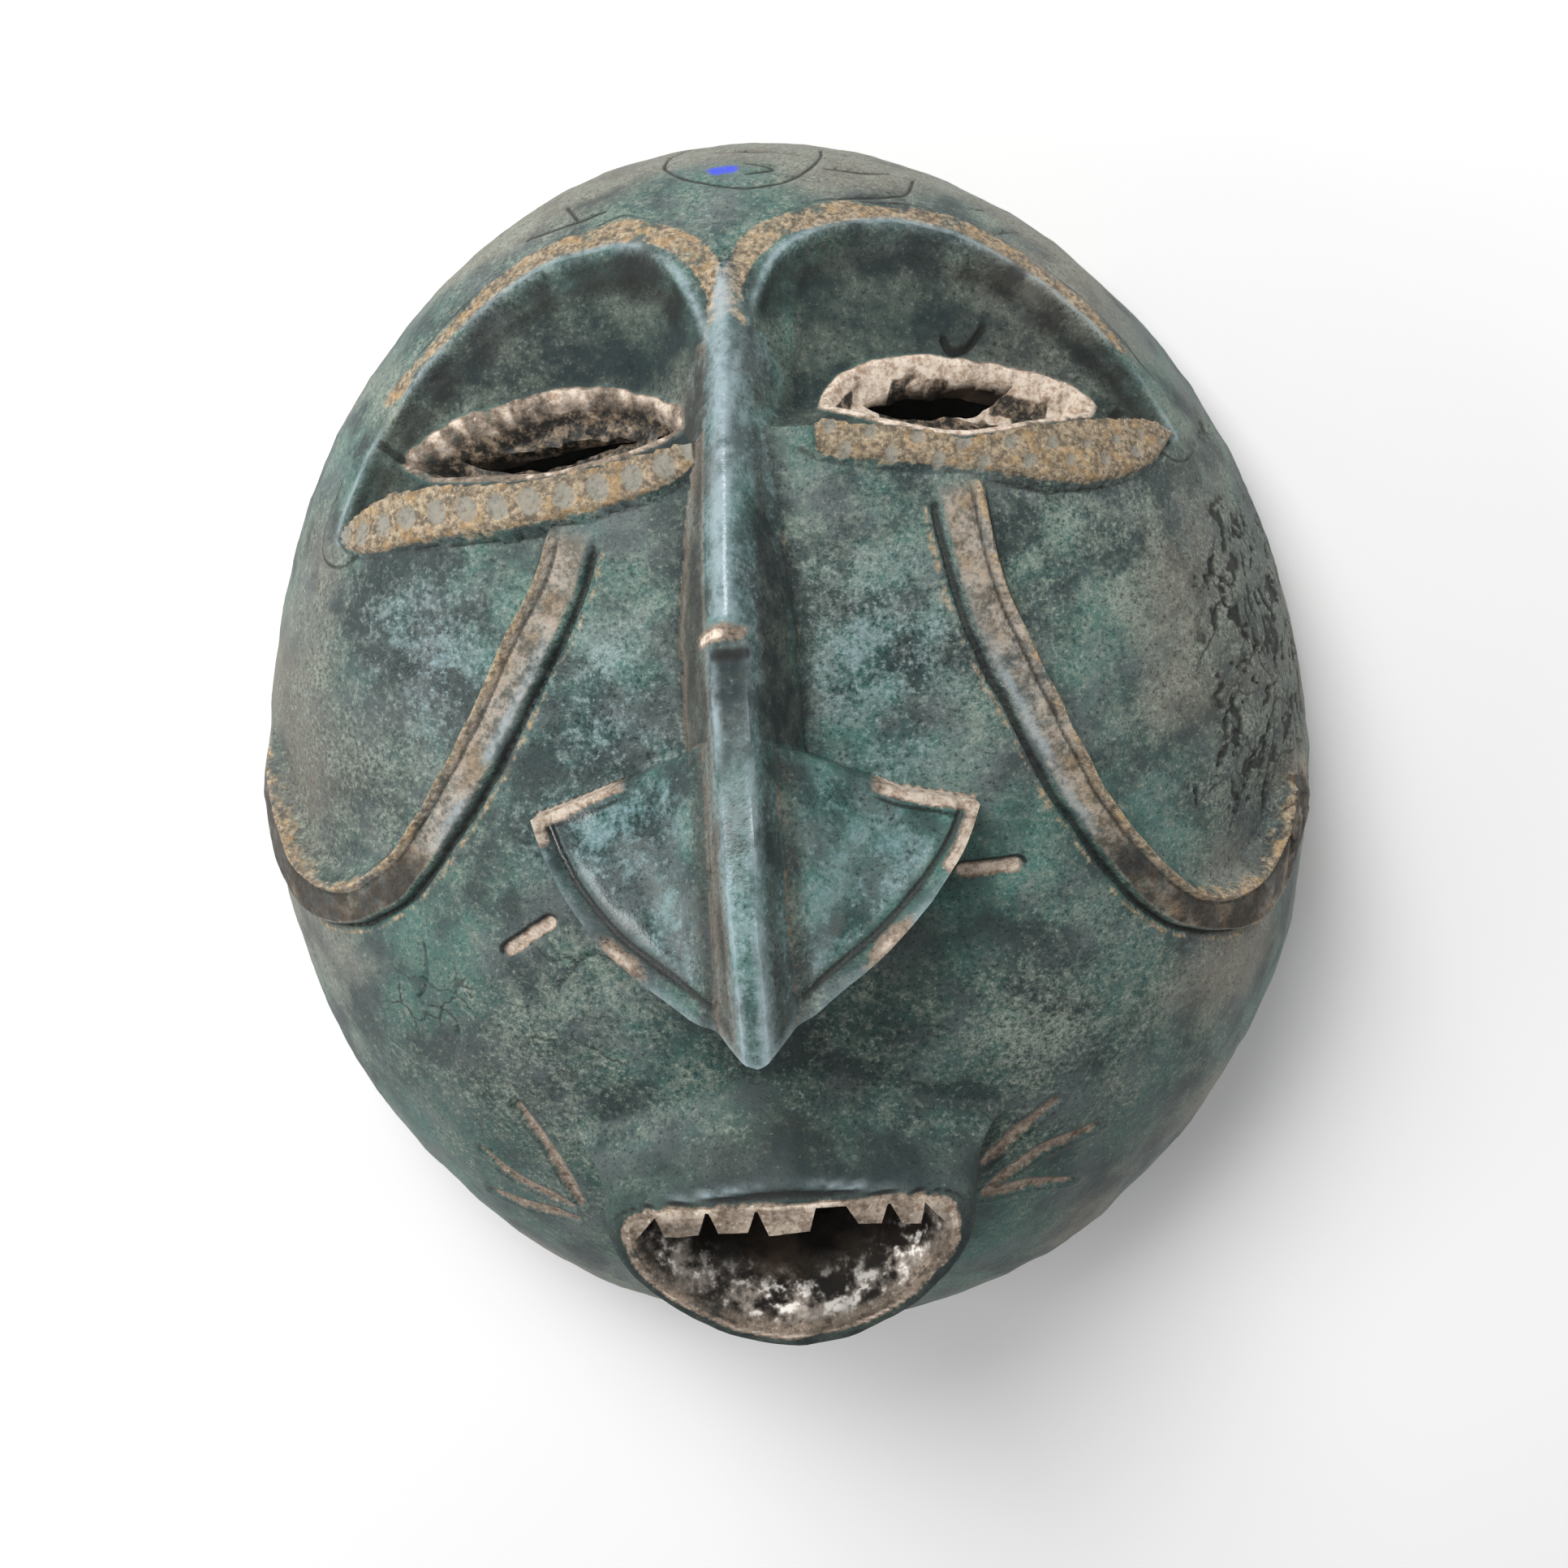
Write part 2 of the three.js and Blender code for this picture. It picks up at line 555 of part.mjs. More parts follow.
// The opening between the lips, anticlockwise from the left corner, with or without teeth.
function lipOutline(scale, teeth) {
  const wide = OPENING.wide * scale;
  const rise = (x) => OPENING.up * scale
    * Math.max(1 - (Math.abs(x) / wide) ** MOUTH.topPower, 0) ** (1 / MOUTH.topPower);
  const outline = [];
  const steps = 24;
  for (let i = 0; i <= steps; i++) {
    const turn = Math.PI * (1 + i / steps);
    const [x, y] = [Math.cos(turn), Math.sin(turn)]
      .map((part) => Math.sign(part) * Math.abs(part) ** (2 / MOUTH.bottomPower));
    outline.push([wide * x, OPENING.down * scale * y]);
  }
  for (const tooth of TEETH.toReversed()) {
    const [from, to] = [tooth.from * scale, tooth.to * scale];
    const drop = teeth ? tooth.drop : 0;
    const bevel = TOOTH_BEVEL * scale;
    outline.push([to, rise(to)], [to - bevel, rise(to - bevel) - drop],
      [from + bevel, rise(from + bevel) - drop], [from, rise(from)]);
  }
  return outline.map(([x, y]) => [x + MOUTH.p, y + MOUTH.q]);
}

// The hole widens from the hollow up to the lips; the teeth stand in its last few millimetres.
function mouthHole() {
  const lip = (p, q) => lipHeight(q);
  return plug([
    { outline: lipOutline(0.78, false), height: () => -22 },
    { outline: lipOutline(0.84, false), height: () => 0 },
    { outline: lipOutline(0.97, false), height: (p, q) => lip(p, q) - TOOTH_DEPTH - 0.6 },
    { outline: lipOutline(0.97, true), height: (p, q) => lip(p, q) - TOOTH_DEPTH },
    { outline: lipOutline(1, true), height: (p, q) => lip(p, q) - 0.5 },
    { outline: lipOutline(1.04, true), height: (p, q) => lip(p, q) + 6 },
  ]);
}

// A lens-shaped cut through the bottom of the eye.
function eyeSlit({ from, to, half }) {
  const steps = 10;
  const ends = [new THREE.Vector2(...from), new THREE.Vector2(...to)].sort((a, b) => a.x - b.x);
  const run = ends[1].clone().sub(ends[0]);
  const side = new THREE.Vector2(-run.y, run.x).normalize();
  const outline = [];
  for (const way of [-1, 1]) {
    for (let i = 0; i < steps; i++) {
      const t = way < 0 ? i / steps : 1 - i / steps;
      const swell = way * half * Math.sin(Math.PI * t) ** 0.7;
      const place = ends[0].clone().addScaledVector(run, t).addScaledVector(side, swell);
      outline.push(place.toArray());
    }
  }
  const [under, over] = [-45, 10];
  return plug([{ outline, height: () => under }, { outline, height: () => over }]);
}

function carve() {
  const block = new Net(facePoint, FACE_RING).refine(FACE_KNOTS).body(0);
  const hollow = new Net(hollowPoint, HOLLOW_RING).refine(HOLLOW_KNOTS).body(-5);
  let mask = block.subtract(hollow).subtract(mouthHole());
  for (const side of SIDES) mask = mask.subtract(eyeSlit(side.slit));
  const { vertProperties, triVerts } = mask.translate(0, (CHIN - CROWN) / 2, 0).getMesh();
  const geometry = new THREE.BufferGeometry();
  geometry.setAttribute("position", new THREE.BufferAttribute(vertProperties, 3));
  geometry.setIndex(new THREE.BufferAttribute(triVerts, 1));
  geometry.computeVertexNormals();
  return geometry;
}

const mask = new THREE.Mesh(carve(), new THREE.MeshStandardMaterial(WOOD));
mask.name = "carved_mask";

const model = new THREE.Group();
model.add(mask);

export default model;
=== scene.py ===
import math

import bpy
import numpy as np
from mathutils import Matrix, Vector


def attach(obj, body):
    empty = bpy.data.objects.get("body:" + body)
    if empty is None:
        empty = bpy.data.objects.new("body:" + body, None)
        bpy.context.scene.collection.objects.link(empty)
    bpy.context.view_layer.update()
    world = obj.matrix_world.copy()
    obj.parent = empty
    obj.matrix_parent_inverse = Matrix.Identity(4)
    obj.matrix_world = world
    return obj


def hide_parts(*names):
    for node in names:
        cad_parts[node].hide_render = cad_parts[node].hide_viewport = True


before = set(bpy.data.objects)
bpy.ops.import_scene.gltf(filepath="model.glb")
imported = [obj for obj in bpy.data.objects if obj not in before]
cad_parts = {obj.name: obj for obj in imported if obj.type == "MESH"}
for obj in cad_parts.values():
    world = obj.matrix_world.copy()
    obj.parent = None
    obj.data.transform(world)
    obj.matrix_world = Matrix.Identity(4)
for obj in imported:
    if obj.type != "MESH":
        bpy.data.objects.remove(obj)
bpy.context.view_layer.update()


# The block. One piece of wood, first brought to an egg-shaped dome that lies on its back rim.
# Lengths on it are millimetres along a tape laid from the top of the dome: p to the right and
# q up towards the crown.
HALF_WIDTH = 124.4
CROWN = 148.1
CHIN = 134.8
DEPTH = 106
OUTLINE_POWER = 1.975
SIDE_POWER = 2.3
CROWN_POWER = 2.6
CHIN_POWER = 2.3
TAPE = 115  # tape for each radian away from the top
RIM_TAPE = TAPE * math.pi / 2
TO_BOX_MIDDLE = (CHIN - CROWN) / 2
BROAD_LUMPS = (31, 4)  # their size, and the seed of their random heights
GOUGE_WIDTH = 13
GOUGE_DEPTH = 0.55
DUST = 0.55


def soft(x, start=0, run=1):
    """From 0 at the start to 1 a run later, smoothly."""
    t = np.clip((x - start) / run, 0, 1)
    return t * t * (3 - 2 * t)


def fade(x, start=0, run=1):
    return 1 - soft(x, start, run)


def mix(a, b, t):
    return a + (b - a) * t


def dome(lean, turn):
    """From the middle of the rim to the plain dome."""
    c, s = np.abs(np.cos(turn)), np.sin(turn)
    reach = np.where(s > 0, CROWN, CHIN)
    power = SIDE_POWER + (np.where(s > 0, CROWN_POWER, CHIN_POWER) - SIDE_POWER) * s * s
    flat = (c / HALF_WIDTH) ** OUTLINE_POWER + (np.abs(s) / reach) ** OUTLINE_POWER
    flat = flat ** (-1 / OUTLINE_POWER)
    across, up = np.sin(lean) / flat, np.maximum(np.cos(lean), 0) / DEPTH
    return (across ** power + up ** power) ** (-1 / power)


def place_at(p, q, height):
    """The place in space at p, q on the tape and this far above the plain dome."""
    tape = np.minimum(np.hypot(p, q), RIM_TAPE)
    lean, turn = tape / TAPE, np.arctan2(q, p)
    far = dome(lean, turn) + height
    up = np.where(tape > RIM_TAPE - 1e-6, 0, far * np.cos(lean))
    out = far * np.sin(lean)
    return np.stack([out * np.cos(turn), out * np.sin(turn), up], -1)


def grain(p, q, size, seed):
    """Random unevenness from -1 to 1, in soft lumps of this size."""
    table = np.random.default_rng(seed).uniform(-1, 1, (128, 128))
    x, y = p / size, q / size
    i, j = np.floor(x).astype(int), np.floor(y).astype(int)
    u, v = soft(x - i), soft(y - j)

    def knot(a, b):
        return table[(i + a) % 128, (j + b) % 128]

    return mix(mix(knot(0, 0), knot(1, 0), u), mix(knot(0, 1), knot(1, 1), u), v)


def dishes(p, q, size, seed):
    """Gouge strokes side by side: how far a place is from the middle of its stroke, in strokes."""
    middles = np.random.default_rng(seed).uniform(0.1, 0.9, (64, 64, 2))
    x, y = p / size, q / size
    i, j = np.floor(x).astype(int), np.floor(y).astype(int)
    nearest = np.full(p.shape, 9.0)
    for a in (-1, 0, 1):
        for b in (-1, 0, 1):
            middle = middles[(i + a) % 64, (j + b) % 64]
            away = np.hypot(i + a + middle[..., 0] - x, j + b + middle[..., 1] - y)
            nearest = np.minimum(nearest, away)
    return nearest


class Paint(dict):
    """How much of each finish is on the wood."""

    def __missing__(self, name):
        return 0.0

    def __call__(self, name, amount):
        """Lays a finish over what is there of it already."""
        self[name] = np.maximum(self[name], amount)

    def wipe(self, amount, *names):
        """Takes finishes off again."""
        for name in names:
            self[name] = self[name] * (1 - amount)


def tool_marks(p, q, height, paint):
    stroke = dishes(p + 2 * grain(p, q, 9, 1), q + 2 * grain(p, q, 9, 2), GOUGE_WIDTH, 3)
    lumps = 0.5 * grain(p, q, *BROAD_LUMPS) + 0.22 * grain(p, q, 8, 5) + 0.07 * grain(p, q, 2.6, 6)
    paint("dust", DUST + 0.25 * grain(p, q, 26, 7))
    return height + lumps + GOUGE_DEPTH * stroke * stroke - 0.2


# The flat front of the face between the two cheek bands, cut back a little from the dome.
# Rubbing with hands has left it glossy on both sides of the nose, and a painted highlight
# lies on these places too.
SHEEN_AND_HIGHLIGHT_PLACES = [(-24, 33, 15), (32, 40, 14), (-66, 46, 15), (35, 22, 9), (-38, 8, 9)]
FACE_CUT = 1.2
FACE_MIDDLE_Q, FACE_HALF_HEIGHT, FACE_HALF_WIDTH = 35, 60, 52


def profile(stations, values):
    """A size that changes along a line, from its values at the stations."""
    return lambda at: np.interp(at, stations, values)


nose_axis = profile([-28, 0, 33, 59, 100], [3.1, 3.2, 3.5, 4.1, 5.3])


def bell(x, middle=0, width=1):
    x = (x - middle) / width
    return np.exp(-x * x)


def spot(p, q, middle_p, middle_q, size):
    """A round patch that fades away from its middle."""
    return bell(np.hypot(p - middle_p, q - middle_q) / size)


def from_axis(p, q):
    """How far to the right of the nose's own axis a place is."""
    return p - nose_axis(q)


def mid_face(p, q, height, paint):
    for place in SHEEN_AND_HIGHLIGHT_PLACES:
        paint("shine", spot(p, q, *place))
    cut = FACE_CUT * soft((FACE_HALF_HEIGHT - np.abs(q - FACE_MIDDLE_Q)) / 30)
    return height - cut * soft((FACE_HALF_WIDTH - np.abs(from_axis(p, q))) / 20)


# The cheek bands. A raised flat band sweeps down each cheek from the lower lid and curls out
# to the rim; the cheek outside it is cut back. Its outer edge keeps a line of ochre, and a
# groove runs along its inner edge. Painted shade darkens the grooves and the foot of the outer
# edge, and a painted highlight runs along the inner edge.
RIGHT, LEFT = 1, -1
RIDGE = {
    RIGHT: [(49, 72), (51, 61), (54, 49), (59, 36), (66, 21), (75, 2), (87, -16), (98, -25),
            (112, -28.5), (127, -24), (139, -10), (144, 10)],
    LEFT: [(-29, 70), (-32.5, 60), (-39.5, 49), (-48, 36), (-58, 22), (-68.5, 9.5), (-80, -2),
           (-94, -8.5), (-110, -8), (-124, 2), (-133, 18), (-137, 36)],
}
RIDGE_STATIONS = [0, 0.45, 0.62, 0.8, 1]
ridge_half = {RIGHT: profile(RIDGE_STATIONS, [4.4, 4, 4.5, 7, 5]),
              LEFT: profile(RIDGE_STATIONS, [4.4, 4.2, 4.7, 7.4, 5])}
inner_height = profile([0, 0.5, 0.7, 1], [1, 1.4, 2.4, 1.5])
outer_height = profile([0, 0.3, 0.7, 1], [1.6, 2.6, 3.2, 1.3])
RIDGE_GROOVE = 0.9
CHEEK_CUT = 2.6
EDGE_BEAD = 0.8
CHEEK_DUST = {RIGHT: 0.6, LEFT: 0.5}


def both_sides(carve):
    """Makes a mark that is carved on one side be carved on both."""
    def carve_both(p, q, height, paint):
        for side in (RIGHT, LEFT):
            height = carve(side, p, q, height, paint)
        return height
    return carve_both


def pulled(points, steps=8):
    """A smooth line through the points."""
    knots = np.array([points[0], *points, points[-1]], float)
    t = np.linspace(0, 1, steps, endpoint=False)[:, None]
    runs = []
    for a, b, c, d in zip(knots, knots[1:], knots[2:], knots[3:]):
        bend = t * t * (a - 2.5 * b + 2 * c - d / 2) + t ** 3 * (3 * (b - c) + d - a) / 2
        runs.append(b + t * (c - a) / 2 + bend)
    return np.vstack([*runs, knots[-1:]])


class Line:
    """A carved line: how far places are from it, on which side, and how far along it."""

    def __init__(self, points, reach=50):
        self.points = np.asarray(points, float)
        self.reach = reach
        runs = np.hypot(*np.diff(self.points, axis=0).T)
        self.lengths = np.concatenate([[0], np.cumsum(runs)])

    def nearest(self, p, q):
        low, high = self.points.min(0) - self.reach, self.points.max(0) + self.reach
        near = np.flatnonzero((p > low[0]) & (p < high[0]) & (q > low[1]) & (q < high[1]))
        x, y = p[near], q[near]
        best = np.full(x.shape, float(self.reach) ** 2)
        side, at = np.ones(x.shape), np.zeros(x.shape)
        for i, ((ax, ay), (bx, by)) in enumerate(zip(self.points, self.points[1:])):
            dx, dy = bx - ax, by - ay
            t = np.clip(((x - ax) * dx + (y - ay) * dy) / max(dx * dx + dy * dy, 1e-9), 0, 1)
            away = (x - ax - t * dx) ** 2 + (y - ay - t * dy) ** 2
            closer = away < best
            best[closer] = away[closer]
            side[closer] = np.sign(dx * (y - ay) - dy * (x - ax))[closer]
            at[closer] = mix(self.lengths[i], self.lengths[i + 1], t)[closer] / self.lengths[-1]
        found = [np.full(p.shape, float(self.reach)), np.ones(p.shape), np.zeros(p.shape)]
        for whole, part in zip(found, (np.sqrt(best), side, at)):
            whole[near] = part
        return found


def smooth_lines(outlines):
    return {side: Line(pulled(points)) for side, points in outlines.items()}


ridge_lines = smooth_lines(RIDGE)


@both_sides
def cheek_bands(side, p, q, height, paint):
    line = ridge_lines[side]
    distance, hand, at = line.nearest(p, q)
    half = ridge_half[side](at) + 0.35 * grain(p, q, 7, 11)
    live = soft(at / 0.03) * soft((1 - at) / 0.12) * (distance < line.reach)
    outward = distance * hand * side
    past_outer, past_inner = outward - half, outward + half
    across = np.clip(past_inner / (2 * half), 0, 1)
    top = mix(inner_height(at), outer_height(at), across ** 1.3) * live
    groove = RIDGE_GROOVE * live * bell(past_inner, -1.1, 0.8)
    face_side = top * fade(distance - half, -0.2, 1.1)
    panel = soft(past_outer, -1.5, 3.5) * fade(past_outer, 4, 38)
    cheek_side = top * fade(distance - half, -0.6, 3) - CHEEK_CUT * live * panel
    bead = live * (bell(past_outer, -0.9, 0.7) - 0.6 * bell(past_outer, -2.5, 0.5))
    height = height + np.where(outward <= 0, face_side, cheek_side) - groove + EDGE_BEAD * bead
    worn = 0.75 + 0.25 * grain(p, q, 3, 12)
    on_band = live * soft((half - np.abs(outward)) / 0.8)
    curl = soft(at, 0.36, 0.16)
    paint("band", on_band)
    paint("ochre", live * worn * bell(past_outer, -0.8, 1.1 + 0.8 * curl))
    paint("ochre", 0.8 * live * worn * bell(past_inner, -2.8, 0.8))
    paint("ochre", 0.5 * on_band * curl)
    gleam = soft(1.4 * grain(p, q, 10, 13) + 0.4) * bell(at, 0.3, 0.2) * (1 - curl)
    # A painted highlight along the band's inner edge.
    paint("worn", live * gleam * bell(past_inner - 1.3))
    below = curl * soft(half - 1.6, outward, 1.2)
    paint("dark", on_band * below * (0.72 + 0.28 * grain(p, q, 4, 14)))
    # Painted shade in both grooves and at the foot of the outer edge.
    paint("dark", live * bell(past_inner, -1, 0.8))
    paint("dark", 0.75 * live * bell(past_outer, -2.5, 0.6))
    paint("dark", 0.7 * live * bell(past_outer, 1.6, 0.8) * fade(at, 0.5, 0.1))
    paint("dust", live * soft(past_outer / 12) * CHEEK_DUST[side])
    return height


# The eye sockets, scooped from a crisp brow edge down to the lower lid. The lid stands as a
# flat band, painted ochre and stippled with a round punch; another band of ochre follows the
# outside of each brow, and both meet in a V over the nose.
BROW = {
    RIGHT: [(6.5, 72), (7.8, 90), (9.6, 98), (11.5, 106), (15.5, 113.5), (22, 117.5), (33, 120.5),
            (48, 121), (64, 116.5), (82, 105), (95.5, 92), (102, 80.5)],
    LEFT: [(3.5, 72), (2.6, 90), (0.6, 98), (-2.4, 106), (-6.5, 113), (-12, 117), (-20, 118.5),
           (-38, 116), (-58, 106), (-74, 93), (-83, 81), (-88, 72)],
}
LID_TOP = {
    RIGHT: [(5, 83), (25, 82.5), (40, 80), (52, 78), (66, 80), (82, 81.5), (95, 82.5), (102, 80.5)],
    LEFT: [(5, 82), (-10, 80), (-25, 78), (-42, 77), (-60, 78.5), (-72, 78), (-82, 75), (-88, 72)],
}
LID_FOOT = {
    RIGHT: [(18, 79), (25, 76), (38, 74), (52, 72), (68, 69), (80, 68.5), (93, 72.5), (102, 80.5)],
    LEFT: [(-1, 78), (-4, 75.5), (-15, 72), (-38, 69), (-59, 68), (-74, 67), (-84, 68.5), (-88, 72)],
}
LID_START = {RIGHT: 21.5, LEFT: 2.5}
PUNCH_PITCH = {RIGHT: 4.6, LEFT: 7.3}
PUNCH_SIZE = {RIGHT: 0.8, LEFT: 1.9}
PUNCH_STAGGER = {RIGHT: 1.7, LEFT: 0}
PUNCH_DEPTH = 0.55
brow_slope = profile([0, 0.25, 0.4, 0.6, 1], [1.4, 1.2, 0.9, 0.8, 0.6])
brow_step = profile([0, 0.2, 0.35, 1], [0.8, 1.8, 2.4, 2.2])
SOCKET_DEPTH = 15
LID_SLOPE = 1.15
LID_HEIGHT = 1.7
BAND_HEIGHT = 0.7
band_start = profile([0.27, 0.36], [3, 0.7])
band_end = profile([0.27, 0.42], [9, 5.2])
nose_flank = {RIGHT: profile([0.24, 0.33], [6, 0.3]), LEFT: profile([0, 1], [0.3, 0.3])}
SOCKETS_FROM_Q = 55
CHIPS = [(66, 115.5, 3.2), (92.5, 89, 2.4)]
CHIP_DEPTH = 1.1

brow_lines, lid_tops, lid_feet = (smooth_lines(outlines) for outlines in (BROW, LID_TOP, LID_FOOT))


def join(a, b, k):
    """The larger of two heights, with a fillet of width k between them."""
    near = np.maximum(k - np.abs(a - b), 0) / k
    return np.maximum(a, b) + near * near * k / 4


def lower(a, b, k):
    return -join(-a, -b, k)


def within(outline, p, q):
    inside = np.zeros(p.shape, bool)
    x1, y1 = outline[-1]
    for x2, y2 in outline:
        if y1 != y2:
            inside ^= ((y1 > q) != (y2 > q)) & (p < (x2 - x1) * (q - y1) / (y2 - y1) + x1)
        x1, y1 = x2, y2
    return inside


@both_sides
def eye_sockets(side, p, q, height, paint):
    brow, _, at = brow_lines[side].nearest(p, q)
    top, _, _ = lid_tops[side].nearest(p, q)
    foot, _, foot_at = lid_feet[side].nearest(p, q)
    upper = q > SOCKETS_FROM_Q
    socket = within([*brow_lines[side].points, *lid_tops[side].points[::-1]], p, q) & upper
    ragged = 0.5 * grain(p, q, 4, 23)
    lid = within([*lid_tops[side].points, *lid_feet[side].points[::-1]], p + ragged, q + ragged)
    lid = lid & ~socket & (side * (p + ragged) > LID_START[side])
    scoop = brow_step(at) * soft(brow / 0.9) + brow_slope(at) * brow
    bowl = -lower(lower(scoop, 0.2 + LID_SLOPE * top, 3), SOCKET_DEPTH, 5)
    # The scoop goes deeper than most of the dome's broad lumps; the finer marks stay.
    uneven = height - 0.45 * grain(p, q, *BROAD_LUMPS)
    band_rise = BAND_HEIGHT * soft(at, 0.28, 0.06)
    outside = height + np.where(upper, band_rise * soft((8 - brow) / 1.5), 0)
    lid_height = join(height, LID_HEIGHT * soft(np.minimum(foot, top + 1.5) / 1.3), 0.5)
    row = foot_at * lid_feet[side].lengths[-1] / PUNCH_PITCH[side]
    stagger = np.where(np.round(row) % 2 == 1, 1, -1) * PUNCH_STAGGER[side]
    punch = np.hypot((row - np.round(row)) * PUNCH_PITCH[side], (foot - top) / 2 - stagger)
    punch = lid * fade(punch + ragged * 0.5, PUNCH_SIZE[side], 0.9)
    lid_height = lid_height - PUNCH_DEPTH * punch
    height = np.where(socket, bowl + uneven * soft(brow / 6), np.where(lid, lid_height, outside))

    worn = 0.8 + 0.3 * grain(p, q, 4, 21)
    beyond = upper & ~socket & ~lid
    under = np.where(socket, brow, -brow)
    # A painted highlight, with some wear, along the brow's edge.
    edge_wear_and_highlight = upper * soft(at / 0.15) * soft(grain(p, q, 9, 24) + 0.8)
    paint("worn", 0.8 * edge_wear_and_highlight * bell(under, -1, 0.7))
    # Painted shade on the socket walls under the brow.
    shaded = upper * soft(at, 0.16, 0.1) * soft(under, -0.7, 1.2) * fade(under, 2, 6)
    paint("dark", shaded * (0.62 + 0.2 * grain(p, q, 5, 25)))
    # Gloss with a painted highlight outside the brow beside the nose.
    paint("shine", 0.5 * beyond * bell(brow / 3) * soft((0.36 - at) / 0.06))
    flank = nose_flank[side](at)
    # The sockets are darker: partly their own stain, partly painted shade.
    paint("deep", socket * (0.3 + 0.7 * soft(brow, flank, 2)))
    start = band_start(at)
    reach = band_end(at) + 1.2 * grain(p, q, 9, 22)
    band = soft(brow, start, 0.9) * fade(brow, reach, 1.4) * soft(q, 97, 4)
    parting = soft(q, 109, 4) * bell(p, 4.7, 0.7 + 0.3 * np.maximum(q - 112, 0))
    band = band * (1 - parting)
    band = np.where(at > 0.35, band * soft((1.001 - at) / 0.03), band)
    paint("ochre", beyond * band * worn)
    paint("dark", beyond * bell(brow - reach, 1.7, 0.6) * soft(at, 0.3, 0.1) * 0.8)
    paint("ochre", lid * soft(np.minimum(foot, top + 2) / 0.8) * (0.85 + 0.15 * worn))
    paint("punch", punch)
    # Painted shade at the foot of the raised lid.
    paint("dark", 0.6 * upper * ~socket * bell(foot, 0.2, 0.6) * ~lid * soft((85 - q) / 4))
    return height


def chips(p, q, height, paint):
    for chip_p, chip_q, size in CHIPS:
        chip = bell(np.hypot((p - chip_p) / 1.8, q - chip_q) / size * 1.4)
        height = height - CHIP_DEPTH * chip
        # Painted shade in the chip.
        paint("dark", 0.9 * chip)
    return height


# The eyes. Each is a bare rim of light wood round a rough bowl, and a slit is cut through its
# bottom: a torn hole on the right, a narrow one on the left.
EYE = {
    RIGHT: {"inner": (23.5, 93), "outer": (87, 90.5), "up": 12.5, "down": 10.8, "bends": (0.95, 1.25),
            "point": 0.8},
    LEFT: {"inner": (-5.8, 88.5), "outer": (-73, 88.5), "up": 14, "down": 8.8, "bends": (0.95, 1.5),
           "point": 0.85},
}
EYE_RIM = {RIGHT: 8, LEFT: 1.8}
RIM_GROWS_BELOW = {RIGHT: -2, LEFT: 2.4}
EYE_BEAD = 1.3
EYE_DEPTH = 3.5
LIGHTNESS = {RIGHT: 1, LEFT: 0.66}
EYE_CRACKS = [[(52, 108), (54, 106), (57.5, 106.2), (60.5, 108.6)],
              [(-76, 91), (-71, 88.5), (-66, 89.5), (-61, 87.5)]]


def eye_outline(inner, outer, up, down, bends, point):
    """An almond. The bends move the widest place of its upper and lower edge to one end."""
    along = (1 - np.cos(math.pi * np.arange(24) / 24)) / 2
    ring = []
    for rise, bend, t in ((up, bends[0], along), (-down, bends[1], 1 - along)):
        open_by = t ** (bend / 2) * (1 - t ** bend) ** point
        open_by = rise * open_by / open_by.max()
        ring += zip(mix(inner[0], outer[0], t), mix(inner[1], outer[1], t) + open_by)
    return ring


eye_rings = {side: eye_outline(**EYE[side]) for side in (RIGHT, LEFT)}
eye_lines = {side: Line([*ring, ring[0]], 14) for side, ring in eye_rings.items()}
crack_lines = [Line(pulled(points), 8) for points in EYE_CRACKS]


@both_sides
def eyes(side, p, q, height, paint):
    line = eye_lines[side]
    distance, _, _ = line.nearest(p, q)
    inward = np.where(within(eye_rings[side], p, q), distance, -distance)
    inward = np.where(distance < line.reach, inward, -50) + 0.35 * grain(p, q, 3.5, 31)
    below = soft(mix(EYE[side]["inner"][1], EYE[side]["outer"][1], 0.5) - 1, q, 3)
    rim = EYE_RIM[side] + below * RIM_GROWS_BELOW[side]
    bowl = soft(inward, 1, 7) if side == RIGHT else soft(inward, rim, 2)
    height = height + EYE_BEAD * bell(inward, 0.8, 1.3) - EYE_DEPTH * bowl
    lumps = 0.8 * grain(p, q, 3.3, 32) + 0.4 * grain(p, q, 1.6, 33)
    height = height + lumps * (bowl if side == LEFT else 0.4 * bowl)
    bare = soft(inward + 1) * fade(inward - rim, 0.5, 1.2)
    if side == RIGHT:
        bare = bare * (1 - 0.85 * soft(inward, 2.6, 1.5) * soft(2.6 * grain(p, q, 3, 36) - 0.1))
        paint("rough", 0.9 * soft(inward, 2, 1.5))
    paint("bare", bare * (LIGHTNESS[side] + 0.3 * grain(p, q, 2, 34)))
    paint("rough", soft(inward - rim, -0.5, 1.5))
    if side == LEFT:
        height = height - 0.8 * bell(inward, rim, 0.6) * (1 - below)
        # Painted shade in the groove under the left eye's rim.
        paint("dark", 0.8 * bell(inward - rim, 0.2, 0.6) * (1 - below))
    paint.wipe(soft(inward + 1.4), "ochre", "worn", "deep", "punch", "dust")
    return height


def eye_flaws(p, q, height, paint):
    patch = np.hypot((p - 55) / 6, (q - 87.6) / 2) + 0.3 * grain(p, q, 2, 35)
    paint("pale", fade(patch, 0.7, 0.4))
    for line in crack_lines:
        distance, _, _ = line.nearest(p, q)
        height = height - 1.5 * bell(distance / 0.8)
        paint("dark", 1.3 * bell(distance / 0.9))
    return height


